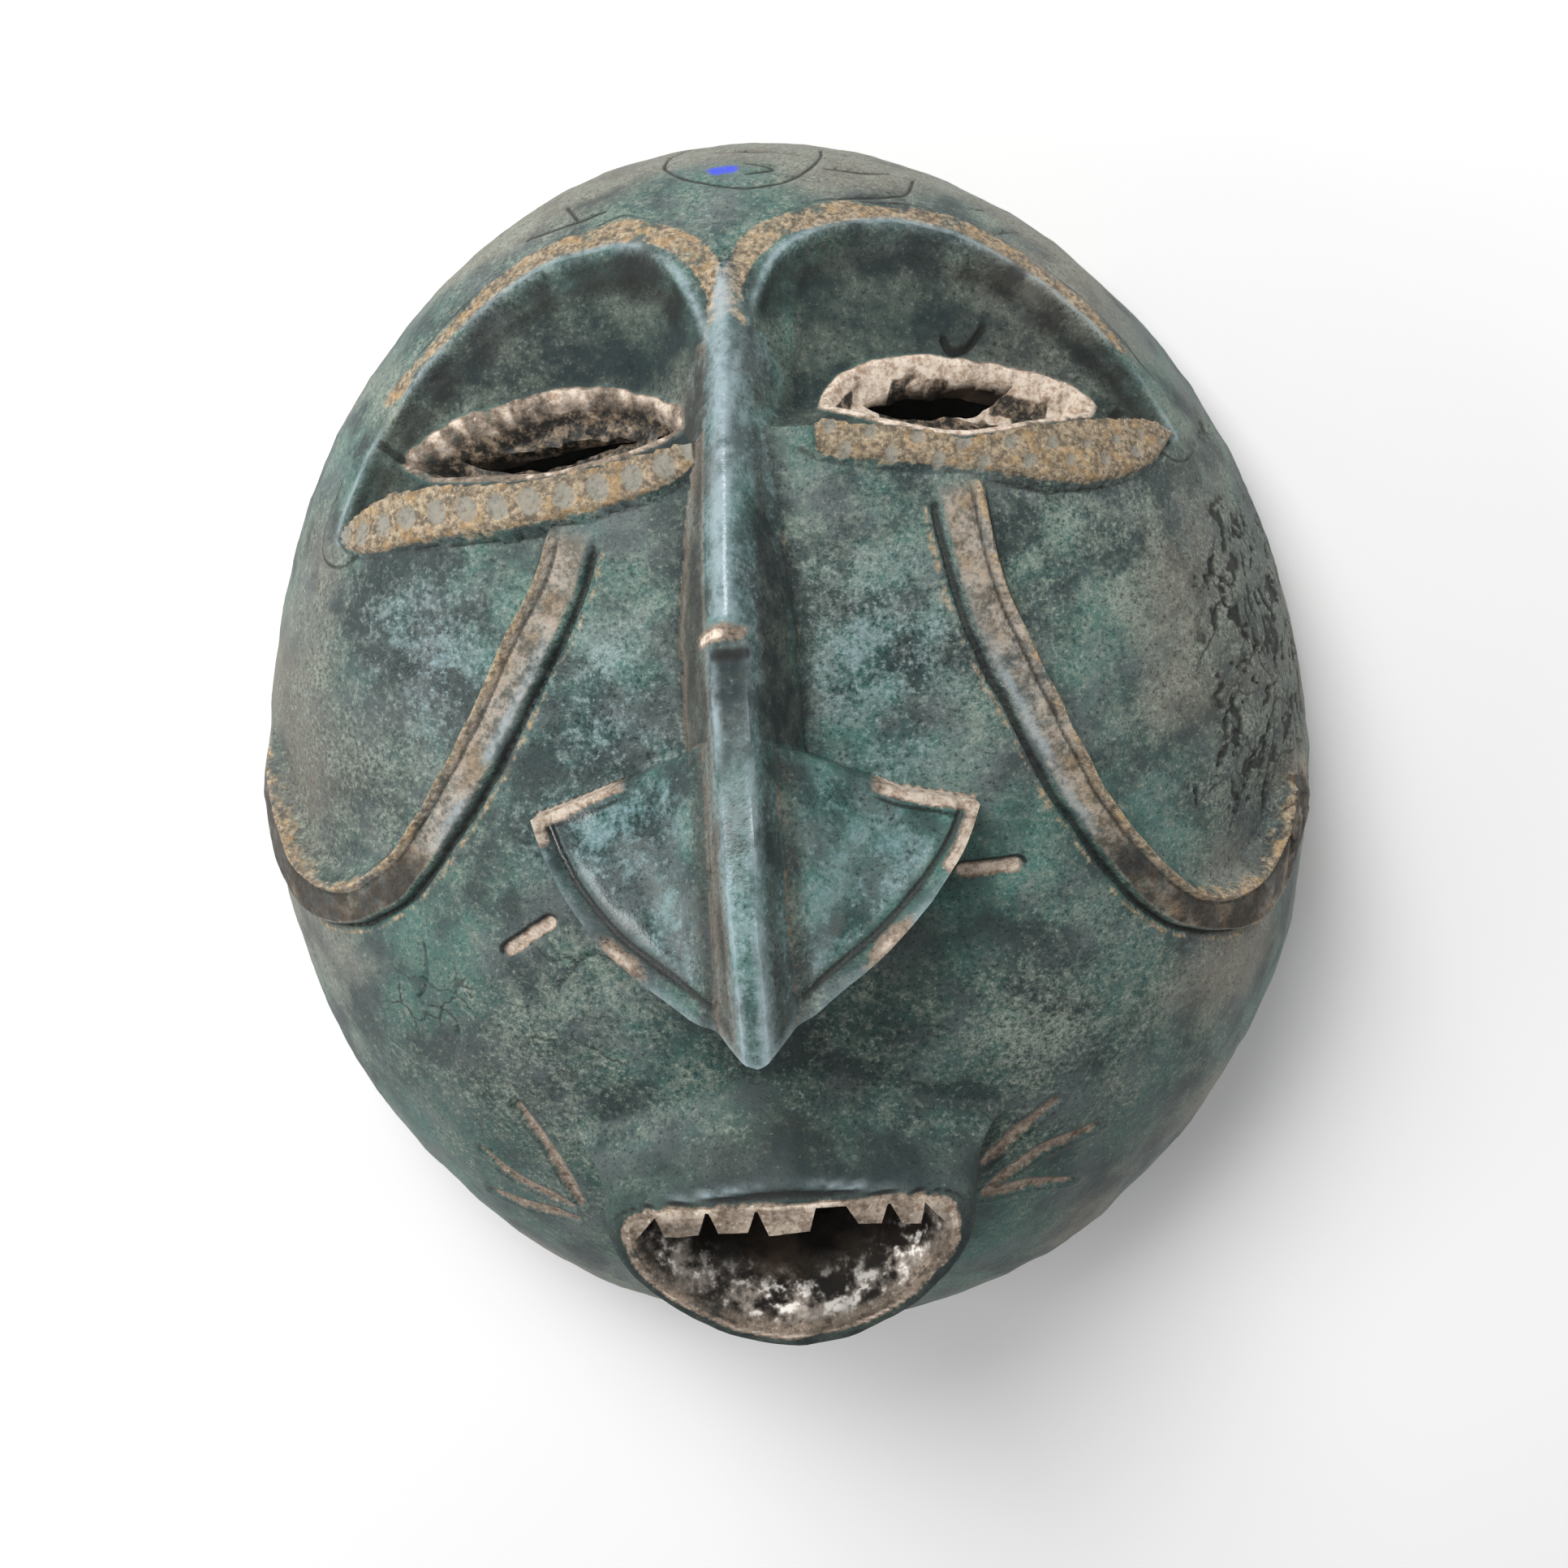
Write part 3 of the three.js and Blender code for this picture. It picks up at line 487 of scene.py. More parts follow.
# The flared sides of the nose, dished, with a bead along the lower edge.
WING = {
    RIGHT: [(35, 13.5), (51, 9), (46, 0), (38, -8), (28, -15.5), (17, -21.5), (8, -26), (3.5, -28)],
    LEFT: [(-25, 19), (-44, 12.5), (-39, 2), (-33, -6), (-24, -14), (-13, -20.5), (-3, -25.5),
           (3.5, -28)],
}
WING_TOP_Q, NOSE_TIP_Q = 28, -28
wing_reach = profile([-28, -20, -10, 0, 10, 20, 28], [2, 12, 24, 32, 38, 30, 26])
wing_edge = profile([-28, -25.5, -20.5, -14, -6, 2, 12.5, 28], [36, 32, 25, 18.5, 12.5, 8, 4, 2])
WING_UNDER_NOSE = 9.5
WING_DISH = 2.6
WING_BEAD, BEAD_GROOVE = 1.5, 1.1
BARE_TIP = {RIGHT: 0.3, LEFT: 0.14}
nose_height = profile([-28, -12, 0, 13, 26, 42, 45, 54, 69, 80, 99, 108],
                      [37.5, 33, 29.3, 25.2, 21.3, 16.8, 17.6, 14.8, 10.3, 7.2, 2.5, 0])
NOSE_WALL_RUN = 1.8

wing_rims, wing_tops, wing_areas = {}, {}, {}
on_axis = [(nose_axis(q), q) for q in (WING_TOP_Q, NOSE_TIP_Q, 0)]
for side, points in WING.items():
    rim = pulled(points[1:])
    wing_rims[side] = Line(rim)
    wing_tops[side] = Line([on_axis[0], points[0], points[1]])
    wing_areas[side] = [on_axis[0], points[0], *rim, *on_axis[1:]]


@both_sides
def nose_wings(side, p, q, height, paint):
    area = within(wing_areas[side], p, q)
    rim, _, at = wing_rims[side].nearest(p, q)
    top, _, top_at = wing_tops[side].nearest(p, q)
    across = np.abs(from_axis(p, q))
    reach = wing_reach(q)
    out = np.clip((across - 8) / np.maximum(reach - 8, 3), 0, 1)
    root = nose_height(q) - WING_UNDER_NOSE
    dish = WING_DISH * np.sin(math.pi * out) * soft(reach, 8, 15)
    bead = WING_BEAD * bell(rim, 1.6, 1.3) - BEAD_GROOVE * bell(rim, 4.2, 0.9)
    marks = 0.6 * grain(p, q, 9, 41) + 0.18 * grain(p, q, 4, 42)
    face = np.maximum(mix(root, wing_edge(q), out) - dish, 2.2)
    face = face + bead * soft(at / 0.02) + marks
    shown = np.clip(rim / NOSE_WALL_RUN, 0, 1) * np.clip(top / 1.5, 0, 1)
    height = np.where(area, np.maximum(height, mix(height, face, shown)), height)

    # Gloss with a painted highlight on the lower part of each flared side.
    paint("shine", area * soft(rim, 5, 2) * soft(top / 6) * soft(out / 0.3))
    # Painted shade in the groove inside the bead, and a painted highlight on the bead.
    paint("dark", area * bell(rim, 4.3, 0.8) * soft(at / 0.08))
    paint("worn", area * bell(rim, 1.4, 1.1) * (0.6 + 0.4 * grain(p, q, 8, 43)))
    corner = area * soft(top_at, 0.5, 0.12)
    paint("bare", 0.8 * corner * fade((top - 3 - 0.6 * grain(p, q, 5, 44)) / 0.7))
    paint("dark", 0.8 * corner * bell(top, 4.4, 0.6))
    paint("bare", 0.78 * area * soft(BARE_TIP[side], at, 0.04) * fade(rim, 3, 0.8))
    paint("bare", 0.85 * area * bell(at, 0.55, 0.1) * bell(rim, 2.4, 1.2))
    # Painted shade in the crease between the nose and the flared side.
    crease = soft((13 - across) / 5) * soft(top / 3)
    paint("dark", 0.6 * area * crease)
    paint["dust"] = np.where(area, 0.25 + 0.5 * crease, paint["dust"])
    return height


# The nose. A ridge that is round above a small notch and flat-topped below it, and that ends
# in a point between the flared sides. The notch is worn down to light wood.
NOTCH_Q = 42.5
NOSE_TOP_Q = 112
nose_half = profile([-28, -10, 13, 33, 60, 85, 103], [1.7, 1.9, 2.6, 3, 3.4, 3.2, 3])
nose_slope = profile([-28, 0, 20, 33, 60, 80, 100], [1.7, 2.1, 2.4, 2.1, 1.9, 1.9, 1.7])
ROUND_RISE = 1.2
LOWER_FILLET, UPPER_FILLET = 1.2, 4.5


def nose_bridge(p, q, height, paint):
    right = from_axis(p, q)
    across = np.abs(right)
    edge = np.ones(p.shape)
    for side in (RIGHT, LEFT):
        wing = (q < 12) & ((right > 0) == (side == RIGHT))
        rim, _, _ = wing_rims[side].nearest(p, q)
        wall = np.clip(rim / NOSE_WALL_RUN, 0, 1) * within(wing_areas[side], p, q)
        edge = np.where(wing, wall, edge)
    crest = nose_height(q)
    half, slope = nose_half(q), nose_slope(q)
    flat = crest - np.maximum(across - half, 0) * slope
    rounded = crest + ROUND_RISE - slope * (np.hypot(across, 3) - 3)
    body = mix(flat, rounded, soft(q, 41, 3)) + 0.12 * grain(p, q, 5, 51)
    fillet = mix(LOWER_FILLET, UPPER_FILLET, soft(q, 26, 8))
    with_nose = mix(height, join(height, body, fillet), edge)
    here = (q < NOSE_TOP_Q) & (q > NOSE_TIP_Q - 2) & (across < 40)
    on_top = here * edge * (body > height)
    foot = here * edge * (body <= height) * soft(1 - (height - body) / 9) * soft(q, 24, 8)
    # Painted shade round the foot of the upper nose.
    paint("deep", 0.75 * foot)
    paint.wipe(on_top, "dark")
    paint.wipe(np.maximum(on_top, 0.6 * foot), "shine")
    # Gloss with a painted highlight on the nose's top.
    paint("shine", 0.75 * on_top * soft(q, -30, 5) * fade(across - half, 3, 5))
    # Painted highlights along the edges of the flat strip and down the round crest.
    edges = bell(across, half, 0.8) * soft((42 - q) / 4)
    paint("worn", on_top * edges * (0.65 + 0.5 * grain(p, q, 6, 52)))
    painted_highlight_line = right + 0.9 + 1.3 * grain(np.full(q.shape, 7), q, 19, 54)
    paint("worn", on_top * soft(q, 44, 2) * bell(painted_highlight_line / 2.1))
    # Painted shade in the crease at the nose's foot, with a thin line of ochre.
    low_foot = 0.6 * here * edge * soft((80 - q) / 20)
    paint("dark", low_foot * bell(body - height, 0.6, 2))
    paint("ochre", low_foot * bell(body - height, 0.2, 0.9))
    paint("brown", 1.3 * on_top * soft(-right, half, 2))
    strip = on_top * soft(q, 4, 34) * soft(43.5 - q) * fade(across, half, 0.6)
    paint("deep", 0.9 * strip)
    paint.wipe(0.6 * strip, "shine")
    # Painted shade on the sloping sides of the nose.
    beside = on_top * soft(across - half, 0.8, 1.5) * soft(body, height, 6)
    paint("deep", beside)
    paint.wipe(0.8 * beside, "shine")
    # Painted shadow under the ledge of the notch.
    paint("dark", 0.8 * on_top * bell(q - NOTCH_Q, -3.5, 1.6) * fade(across - half))
    notch = bell((q - NOTCH_Q - 0.5 + 0.12 * np.abs(across - 3)) / 1.5)
    notch = notch * soft(right, -7, 1.5) * (1 - 0.7 * soft(right, 1.5, 2))
    paint("bare", on_top * notch * (0.8 + 0.5 * grain(p, q, 1.7, 53)))
    paint["dust"] = np.where(on_top > 0.5, 0.3, paint["dust"])
    return np.where(here, with_nose, height)


# The mouth. A short tube stands out of the chin; its rolled lips end in a bare flat rim, and
# five worn teeth hang from the upper one.
MOUTH_P, MOUTH_Q = 2.5, -70
RIM_EDGE = (31.8, 6.3, 19)
OPENING = (28.8, 5.2, 17.2)
TOP_POWER, BOTTOM_POWER = 4.5, 1.65
TEETH = [(-24.5, -14.8, 3.8), (-14.3, -5.7, 3.7), (-5.1, 5.7, 4.2), (11.4, 18.8, 3.4), (19.3, 25.6, 4)]
TOOTH_DEPTH = 5
TOOTH_BEVEL = 1.6
TUBE_REACH = 22
TUBE_HEIGHT, TUBE_SLOPE = 17, 0.27
LIP_TURN, LIP_DROP = 3.2, 2.2
WALL_SLOPE_BELOW, WALL_SLOPE_ABOVE = 3, 1.15


def lip_height(q):
    return TUBE_HEIGHT + TUBE_SLOPE * (-62 - q)


def half_moon(p, q, half_width, up, down):
    """How far out a place is, as a share of the way to an outline flat above and round below."""
    u, v = np.abs(p - MOUTH_P) / half_width, q - MOUTH_Q
    top = (u ** TOP_POWER + (np.maximum(v, 0) / up) ** TOP_POWER) ** (1 / TOP_POWER)
    bottom = (u ** BOTTOM_POWER + (np.maximum(-v, 0) / down) ** BOTTOM_POWER) ** (1 / BOTTOM_POWER)
    return np.maximum(np.where(v > 0, top, bottom), 1e-6)


def past_lip(p, q, outline):
    """How far outside one of the mouth's outlines a place is, away from its middle."""
    return np.hypot(p - MOUTH_P, q - MOUTH_Q) * (1 - 1 / half_moon(p, q, *outline))


def mouth_tube(p, q, height, paint):
    beyond = past_lip(p, q, RIM_EDGE)
    upper = soft(q, MOUTH_Q, 7)
    rolled = LIP_DROP * (np.clip(beyond, 0, LIP_TURN) / LIP_TURN) ** 2.2
    wall = LIP_DROP + (beyond - LIP_TURN) * mix(WALL_SLOPE_BELOW, WALL_SLOPE_ABOVE, upper)
    drop = np.where(beyond < LIP_TURN, rolled, wall)
    marks = 0.3 * grain(p, q, 6, 61) + 0.12 * grain(p, q, 2.5, 62)
    roll = 0.9 * bell(beyond, 3.4, 1.3) - 0.8 * bell(beyond, 1.2, 0.8)
    tube = join(height, lip_height(q) - drop + marks + roll * upper, mix(6, 3, upper))
    near = beyond < TUBE_REACH
    rim = fade((beyond + 0.4 - 0.5 * grain(p, q, 5, 63)) / 0.6)
    tone = 0.5 + 0.2 * soft(q - MOUTH_Q, -2, 2) + 0.16 * grain(p, q, 4, 64)
    tone = tone + 0.3 * bell(beyond, -0.5, 0.5) * soft(grain(p, q, 9, 66) + 0.6)
    paint("bare", near * rim * tone)
    edge = soft((1.3 - past_lip(p, q, OPENING)) / 0.6) * soft(1.6 * grain(p, q, 12, 67) + 0.9)
    paint("dark", near * (1 - upper) * edge)
    # Painted highlights in two streaks on the upper lip's roll, and painted shade in the groove along the
    # rim.
    streaks = np.maximum(bell(p - MOUTH_P, -13, 8), bell(p - MOUTH_P, 12, 7))
    paint("worn", 0.9 * near * upper * streaks * bell(beyond, 2.8, 0.55))
    paint("dark", near * upper * bell(beyond, 1.2, 0.7))
    paint("deep", near * (1 - 0.45 * upper) * fade(beyond, 7, 5))
    paint["dust"] = mix(paint["dust"], 0.3, near * fade(beyond, 8, 6))
    return np.where(near, tube, height)


# Marks cut in the jaws and cheeks. Three whisker lines fan out from each corner of the mouth,
# and there is one short nick beside each flared side of the nose, all down to light wood.
WHISKER_DEPTH, NICK_DEPTH = 0.8, 0.9
whisker_width = profile([0, 0.3, 0.8, 1], [0.7, 1.4, 1.8, 1])
WHISKERS = [
    [(-58, -56), (-52, -69), (-48, -83)], [(-72, -71), (-64, -78), (-51, -84)],
    [(-75, -86), (-64, -87), (-51, -88)], [(62, -64), (52, -71), (45, -77)],
    [(72, -75), (59, -77), (45, -85)], [(65, -90), (55, -87), (44, -86)],
]
NICKS = [[(-54, -18), (-44, -12)], [(47, -7), (58, -7)]]
whisker_lines = [Line(pulled(points), 8) for points in WHISKERS]
nick_lines = [Line(points, 8) for points in NICKS]


def jaw_marks(p, q, height, paint):
    ragged = 0.25 * grain(p, q, 2.2, 71)
    for line in whisker_lines:
        distance, _, at = line.nearest(p, q)
        width = whisker_width(at)
        height = height - WHISKER_DEPTH * bell(distance / width) + 0.25 * bell(distance, 2.2, 0.8)
        paint("bare", 0.72 * bell((distance + ragged) / (1.1 * width)))
        paint("dark", 0.5 * bell(distance, 2.1, 0.7))
    for line in nick_lines:
        distance, hand, _ = line.nearest(p, q)
        height = height - NICK_DEPTH * fade(distance, 1.1, 0.9)
        paint("bare", 0.8 * fade(distance + ragged, 1.2, 0.7))
        # Painted shade on one side of each nick.
        paint("dark", bell(distance, 1.9, 0.5) * (hand > 0))
    return height


# The forehead has thin lines scratched in it: a ring with a lens and a spot of blue, and
# leaves beside it.
SCRATCHES = [
    [(-10.3, 144.3), (-6, 138), (2.1, 133.5), (7.9, 131.4), (12.5, 132), (16.9, 133.7),
     (21.5, 138.5), (24.5, 146), (25, 154)],
    [(-10.3, 144.3), (-10, 151), (-6, 158)],
    [(0, 152), (10, 149), (19.6, 147.2)],
    [(8.1, 142), (14.2, 138.3), (8.4, 136.6)],
    [(25.5, 140.1), (33.3, 139.7), (40.6, 141.8)],
    [(26.7, 151.2), (40.4, 151.9)],
    [(27.8, 128.3), (41.4, 131.9), (45.7, 141)],
    [(-32, 137), (-27.8, 130.4)],
    [(-40.2, 129.5), (-29.8, 129.2), (-21.2, 130.7)],
]
JAW_CRACKS = [
    [(-74, -14), (-76, -26), (-80, -31), (-71, -34), (-69, -42)],
    [(-44, -29), (-41, -23), (-34, -20), (-28, -20)],
    [(-49, -17), (-41, -21), (-38, -23)],
    [(120, 44), (124, 30), (131, 16), (128, 2)],
    [(112, -8), (121, 4), (120, 14)],
    [(60, 124), (72, 131), (84, 128)],
]
SCRATCH_DEPTH = 0.5
BLUE_P, BLUE_Q = 3.4, 138.9
scratch_lines = [Line(pulled(points), 6) for points in SCRATCHES]
crackle_lines = [Line(pulled(points), 6) for points in JAW_CRACKS]


def scratches(p, q, height, paint):
    for line in scratch_lines:
        distance, _, _ = line.nearest(p, q)
        height = height - SCRATCH_DEPTH * bell(distance / 0.6)
        paint("dark", 0.9 * bell(distance / 0.55))
    for line in crackle_lines:
        distance, _, at = line.nearest(p + 1.5 * grain(p, q, 5, 81), q + 1.5 * grain(p, q, 5, 82))
        open_by = soft(at / 0.1) * soft((1 - at) / 0.1)
        height = height - SCRATCH_DEPTH * open_by * bell(distance / 0.6)
        paint("dark", 0.7 * open_by * bell(distance / 0.5))
    dab = np.hypot((p - BLUE_P) / 3.4, (q - BLUE_Q) / 2) + 0.3 * grain(p, q, 2, 83)
    paint("blue", fade(dab, 0.75, 0.4))
    return height


# The weathered edge of the right cheek is pitted and cracked, and smoke has darkened the jaws
# and the left cheek. The same dark is laid as painted shade under the nose tip and beside the
# lower edges of its flared sides.
# The last three spots are painted shade under the nose.
SMOKE_AND_SHADOW_SPOTS = [(-100, 26, 36), (-62, -60, 40), (58, -66, 34), (-36, -8, 14), (30, -35, 24), (0, -45, 24)]
CRACKLED = [(-78, -32, 30), (62, 132, 24), (-40, -40, 26), (-60, 118, 20)]
DUSTY_JAW = (62, -42, 24)
PIT_DEPTH = 0.55


def weathered_edge(p, q, height, paint):
    inward = 1 - np.hypot((p - 126) / 32, (q - 30) / 64)
    here = soft((inward + 0.3 * grain(p, q, 15, 96) + 0.12 * grain(p, q, 4, 98)) / 0.35)
    wander = 2 * grain(p, q, 5, 95)
    pits = soft(grain(p + wander, q / 2, 2, 91) + 0.5 * grain(p, q, 1.2, 97), 0.2, 0.3)
    paint("dark", here * (0.28 + 0.5 * pits))
    paint("dust", 0.8 * here)
    paint("cracked", 0.5 * here)
    for place in CRACKLED:
        paint("cracked", 0.5 * spot(p, q, *place))
    paint("dust", 0.9 * spot(p, q, *DUSTY_JAW))
    crown = soft((q - 112 + 16 * grain(p, q, 28, 93)) / 30)
    paint("dust", 0.9 * crown)
    paint("brown", 0.95 * crown)
    paint("brown", 0.6 * soft(np.hypot(p, 0.7 * q), 75, 40) + 0.4 * grain(p, q, 23, 94))
    for place in SMOKE_AND_SHADOW_SPOTS:
        paint("smoke", spot(p, q, *place))
    paint("smoke", here)
    return height - here * (PIT_DEPTH * pits + 0.3 * grain(p, q, 9, 92))


# The hollow back, roughly gouged, follows the dome at a finger's thickness; the wood inside is
# bare and darkened by use, and its colour is made near black, which also stands in for the
# shade inside the mouth and the eye slits. It stays lower behind the eye sockets, and reaches
# up under the nose and the mouth: p, q, half width, half height and how far up.
WALL = 12
RIM_WALL = 14
HOLLOW_BUMPS = [
    (50, 97, 36, 22, -9),
    (-38, 95, 36, 22, -9),
    (3, 8, 11, 34, 12),
    (2.6, -75, 29, 17, 15),
]


def hollow_height(p, q):
    near = soft((RIM_TAPE - np.hypot(p, q)) / 40)
    deep = -mix(RIM_WALL, WALL, near)
    for bump_p, bump_q, wide, tall, by in HOLLOW_BUMPS:
        deep = deep + by * near * bell(np.hypot((p - bump_p) / wide, (q - bump_q) / tall))
    stroke = dishes(p * 1.5, q, 15, 101)
    return deep - near * (1.5 * stroke * stroke - 0.4 + 0.25 * grain(p, q, 4, 102))


MM_IN_METRE = 1000


def sheet(count):
    """Knots of a square net laid over the round tape map."""
    u, v = np.meshgrid(np.linspace(-1, 1, count), np.linspace(-1, 1, count), indexing="ij")
    return RIM_TAPE * u * np.sqrt(1 - v * v / 2), RIM_TAPE * v * np.sqrt(1 - u * u / 2)


def made(name, places, faces):
    mesh = bpy.data.meshes.new(name)
    mesh.from_pydata((places / MM_IN_METRE).tolist(), [], faces)
    body = bpy.data.objects.new(name, mesh)
    bpy.context.collection.objects.link(body)
    return body


def net_body(name, places, floor):
    """A closed body under a square net of places, down to a flat floor."""
    count = places.shape[0]
    number = np.arange(count * count).reshape(count, count)
    corners = (number[:-1, :-1], number[1:, :-1], number[1:, 1:], number[:-1, 1:])
    a, b, c, d = (corner.ravel() for corner in corners)
    ring = np.concatenate([number[:-1, 0], number[-1, :-1], number[:0:-1, -1], number[0, :0:-1]])
    places = places.reshape(-1, 3)
    # Each square is folded along its shorter diagonal, which keeps the steep edges straight.
    one, other = (np.linalg.norm(places[i] - places[j], axis=1) for i, j in ((a, c), (b, d)))
    faces = np.stack([a, b, np.where(one < other, c, d), np.where(one < other, a, b), c, d], -1)
    faces = faces.reshape(-1, 3).tolist()
    if floor < 0:
        feet = len(places) + np.arange(len(ring))
        places = np.vstack([places, places[ring] * (1, 1, 0) + (0, 0, floor)])
        faces += np.stack([ring, feet, np.roll(feet, -1), np.roll(ring, -1)], -1).tolist()
        ring = feet
    middle = np.full(len(ring), len(places))
    faces += np.stack([np.roll(ring, -1), ring, middle], -1).tolist()
    return made(name, np.vstack([places, [[0, 0, floor]]]), faces)


PLUG_RING_EVERY = 1.2


def between(rows, stations, wanted):
    """The rows that lie at other stations than the given ones."""
    columns = rows.reshape(len(rows), -1).T
    found = np.array([np.interp(wanted, stations, column) for column in columns]).T
    return found.reshape(len(wanted), *rows.shape[1:])


def plug(name, levels, fine, rough):
    """A body that runs straight away from the middle of the rim, through one outline for each
    level, with sides as rough as the levels say."""
    rows = np.array([place_at(*np.array(outline).T, height) for outline, height in levels])
    around = np.concatenate([rows, rows[:, :1]], 1).swapaxes(0, 1)
    steps = np.arange(0, len(around) - 1 + 1e-9, 1 / fine)[:-1]
    rows = between(around, np.arange(len(around)), steps).swapaxes(0, 1)
    run = np.linalg.norm(np.diff(rows.mean(1), axis=0), axis=-1)
    run = np.concatenate([[0], np.cumsum(run)])
    depth = np.union1d(run, np.arange(0, run[-1], PLUG_RING_EVERY))
    rows = between(rows, run, depth)
    out = rows - rows.mean(1, keepdims=True)
    out = out / np.linalg.norm(out, axis=-1, keepdims=True)
    turns = 2 * math.pi * np.arange(rows.shape[1]) / rows.shape[1]
    size = np.linalg.norm(np.diff(rows[0], axis=0), axis=-1).sum() / 6
    sine, y = np.meshgrid(np.sin(turns) * size, depth)
    cosine, _ = np.meshgrid(np.cos(turns) * size, depth)
    lumps = grain(sine + 40, y + cosine, 3, 103) + 0.7 * grain(cosine + 90, y - sine, 1.5, 104)
    amount = np.interp(depth, run, rough)[:, None]
    rows = rows + out * (lumps * amount)[..., None]
    count = rows.shape[1]
    number = np.arange(len(rows) * count).reshape(len(rows), count)
    low, high = number[:-1], number[1:]
    quads = np.stack([low, np.roll(low, -1, 1), np.roll(high, -1, 1), high], -1)
    faces = quads.reshape(-1, 4).tolist()
    faces += [number[0, ::-1].tolist(), number[-1].tolist()]
    return made(name, rows.reshape(-1, 3), faces)


def lip_outline(scale, teeth):
    """The opening between the lips, anticlockwise from the left corner."""
    wide, up, down = (scale * size for size in OPENING)

    def rise(x):
        return up * max(1 - (abs(x) / wide) ** TOP_POWER, 0) ** (1 / TOP_POWER)

    turns = np.pi * (1 + np.arange(25) / 24)
    cosine, sine = np.cos(turns), np.sin(turns)
    round_x = wide * np.sign(cosine) * np.abs(cosine) ** (2 / BOTTOM_POWER)
    round_y = -down * np.abs(sine) ** (2 / BOTTOM_POWER)
    outline = list(zip(round_x, round_y))
    for start, end, drop in reversed(TEETH):
        start, end, bevel = start * scale, end * scale, TOOTH_BEVEL * scale
        drop = drop if teeth else 0
        outline += [(end, rise(end)), (end - bevel, rise(end - bevel) - drop),
                    (start + bevel, rise(start + bevel) - drop), (start, rise(start))]
    return [(x + MOUTH_P, y + MOUTH_Q) for x, y in outline]


def mouth_levels():
    stages = [(0.78, False, -22), (0.84, False, 0), (0.97, False, -TOOTH_DEPTH - 0.6),
              (0.97, True, -TOOTH_DEPTH), (1, True, -0.5), (1.04, True, 6)]
    levels = []
    for stage, (scale, teeth, height) in enumerate(stages):
        outline = np.array(lip_outline(scale, teeth))
        above = lip_height(outline[:, 1]) if stage > 1 else 0
        levels.append((outline, above + height))
    return levels


def slit_outline(start, end, half):
    """A lens-shaped cut."""
    (ax, ay), (bx, by) = sorted([start, end])
    length = math.hypot(bx - ax, by - ay)
    nx, ny = -(by - ay) / length, (bx - ax) / length
    outline = []
    for way in (-1, 1):
        for i in range(10):
            t = i / 10 if way < 0 else 1 - i / 10
            swell = way * half * max(math.sin(math.pi * t), 0) ** 0.7
            outline.append((mix(ax, bx, t) + nx * swell, mix(ay, by, t) + ny * swell))
    return outline


# The whole mask: the marks are carved into the block one after another, then the block is
# hollowed, and the mouth and the eyes are cut through.
CARVING = [tool_marks, mid_face, cheek_bands, eye_sockets, chips, nose_wings, nose_bridge,
           mouth_tube, eyes, eye_flaws, jaw_marks, scratches, weathered_edge]
FACE_KNOTS = 600
HOLLOW_KNOTS = 110
MOST_TRIANGLES = 190_000
MOUTH_ROUGH = [1, 1.2, 1, 0.2, 0.2, 0.1]  # for each level of mouth_levels
EYE_SLITS = [((34.5, 97.2), (68.5, 98.2), 3.3, 0.8), ((-19, 94.6), (-62, 91.6), 2.4, 0.4)]
FADES_AT_RIM = 16
INSIDE_FROM, INSIDE_RUN = 1.2, 1.5
THROAT_FROM, THROAT_RUN = 5, 9
FINE_AT_CHANGE = 0.12
SHARP_FROM = 50


def carved(p, q):
    """The height of the face over the plain dome, and how much of each finish is on it."""
    paint = Paint()
    height = np.zeros(p.shape)
    for step in CARVING:
        height = step(p, q, height, paint)
    return height * soft((RIM_TAPE - np.hypot(p, q)) / FADES_AT_RIM), paint


def cut_from(body, cutters):
    for cutter in cutters:
        cut = body.modifiers.new(cutter.name, "BOOLEAN")
        cut.operation = "DIFFERENCE"
        cut.solver = "MANIFOLD"
        cut.object = cutter


def settle(body):
    """Turns a body's modifiers into its own mesh."""
    seen = body.evaluated_get(bpy.context.evaluated_depsgraph_get())
    mesh = bpy.data.meshes.new_from_object(seen)
    body.modifiers.clear()
    body.data = mesh
    return mesh


def onto_rims(p, q):
    """Moves the knots that lie near the top or foot of the nose's steep walls onto them."""
    for line in wing_rims.values():
        distance, _, at = line.nearest(p, q)
        along = at * line.lengths[-1]
        near_p, near_q = (np.interp(along, line.lengths, column) for column in line.points.T)
        for wanted in (0, NOSE_WALL_RUN):
            close = (np.abs(distance - wanted) < RIM_TAPE / FACE_KNOTS) & (distance > 0)
            pull = np.where(close, wanted / np.maximum(distance, 1e-9), 1)
            p, q = near_p + (p - near_p) * pull, near_q + (q - near_q) * pull
            distance = distance * pull
    return p, q


p, q = onto_rims(*(part.ravel() for part in sheet(FACE_KNOTS)))
height, _ = carved(p, q)
mask = net_body("igala_mask", place_at(p, q, height).reshape(FACE_KNOTS, FACE_KNOTS, 3), 0)

p, q = sheet(HOLLOW_KNOTS)
cutters = [net_body("hollow", place_at(p, q, hollow_height(p, q)), -5)]
cutters.append(plug("mouth", mouth_levels(), 5, MOUTH_ROUGH))
for start, end, half, torn in EYE_SLITS:
    outline = slit_outline(start, end, half)
    cutters.append(plug("slit", [(outline, -45), (outline, -14), (outline, 10)], 6, [torn] * 3))
cut_from(mask, cutters)
mesh = settle(mask)
for cutter in cutters:
    bpy.data.objects.remove(cutter)
mesh.calc_loop_triangles()


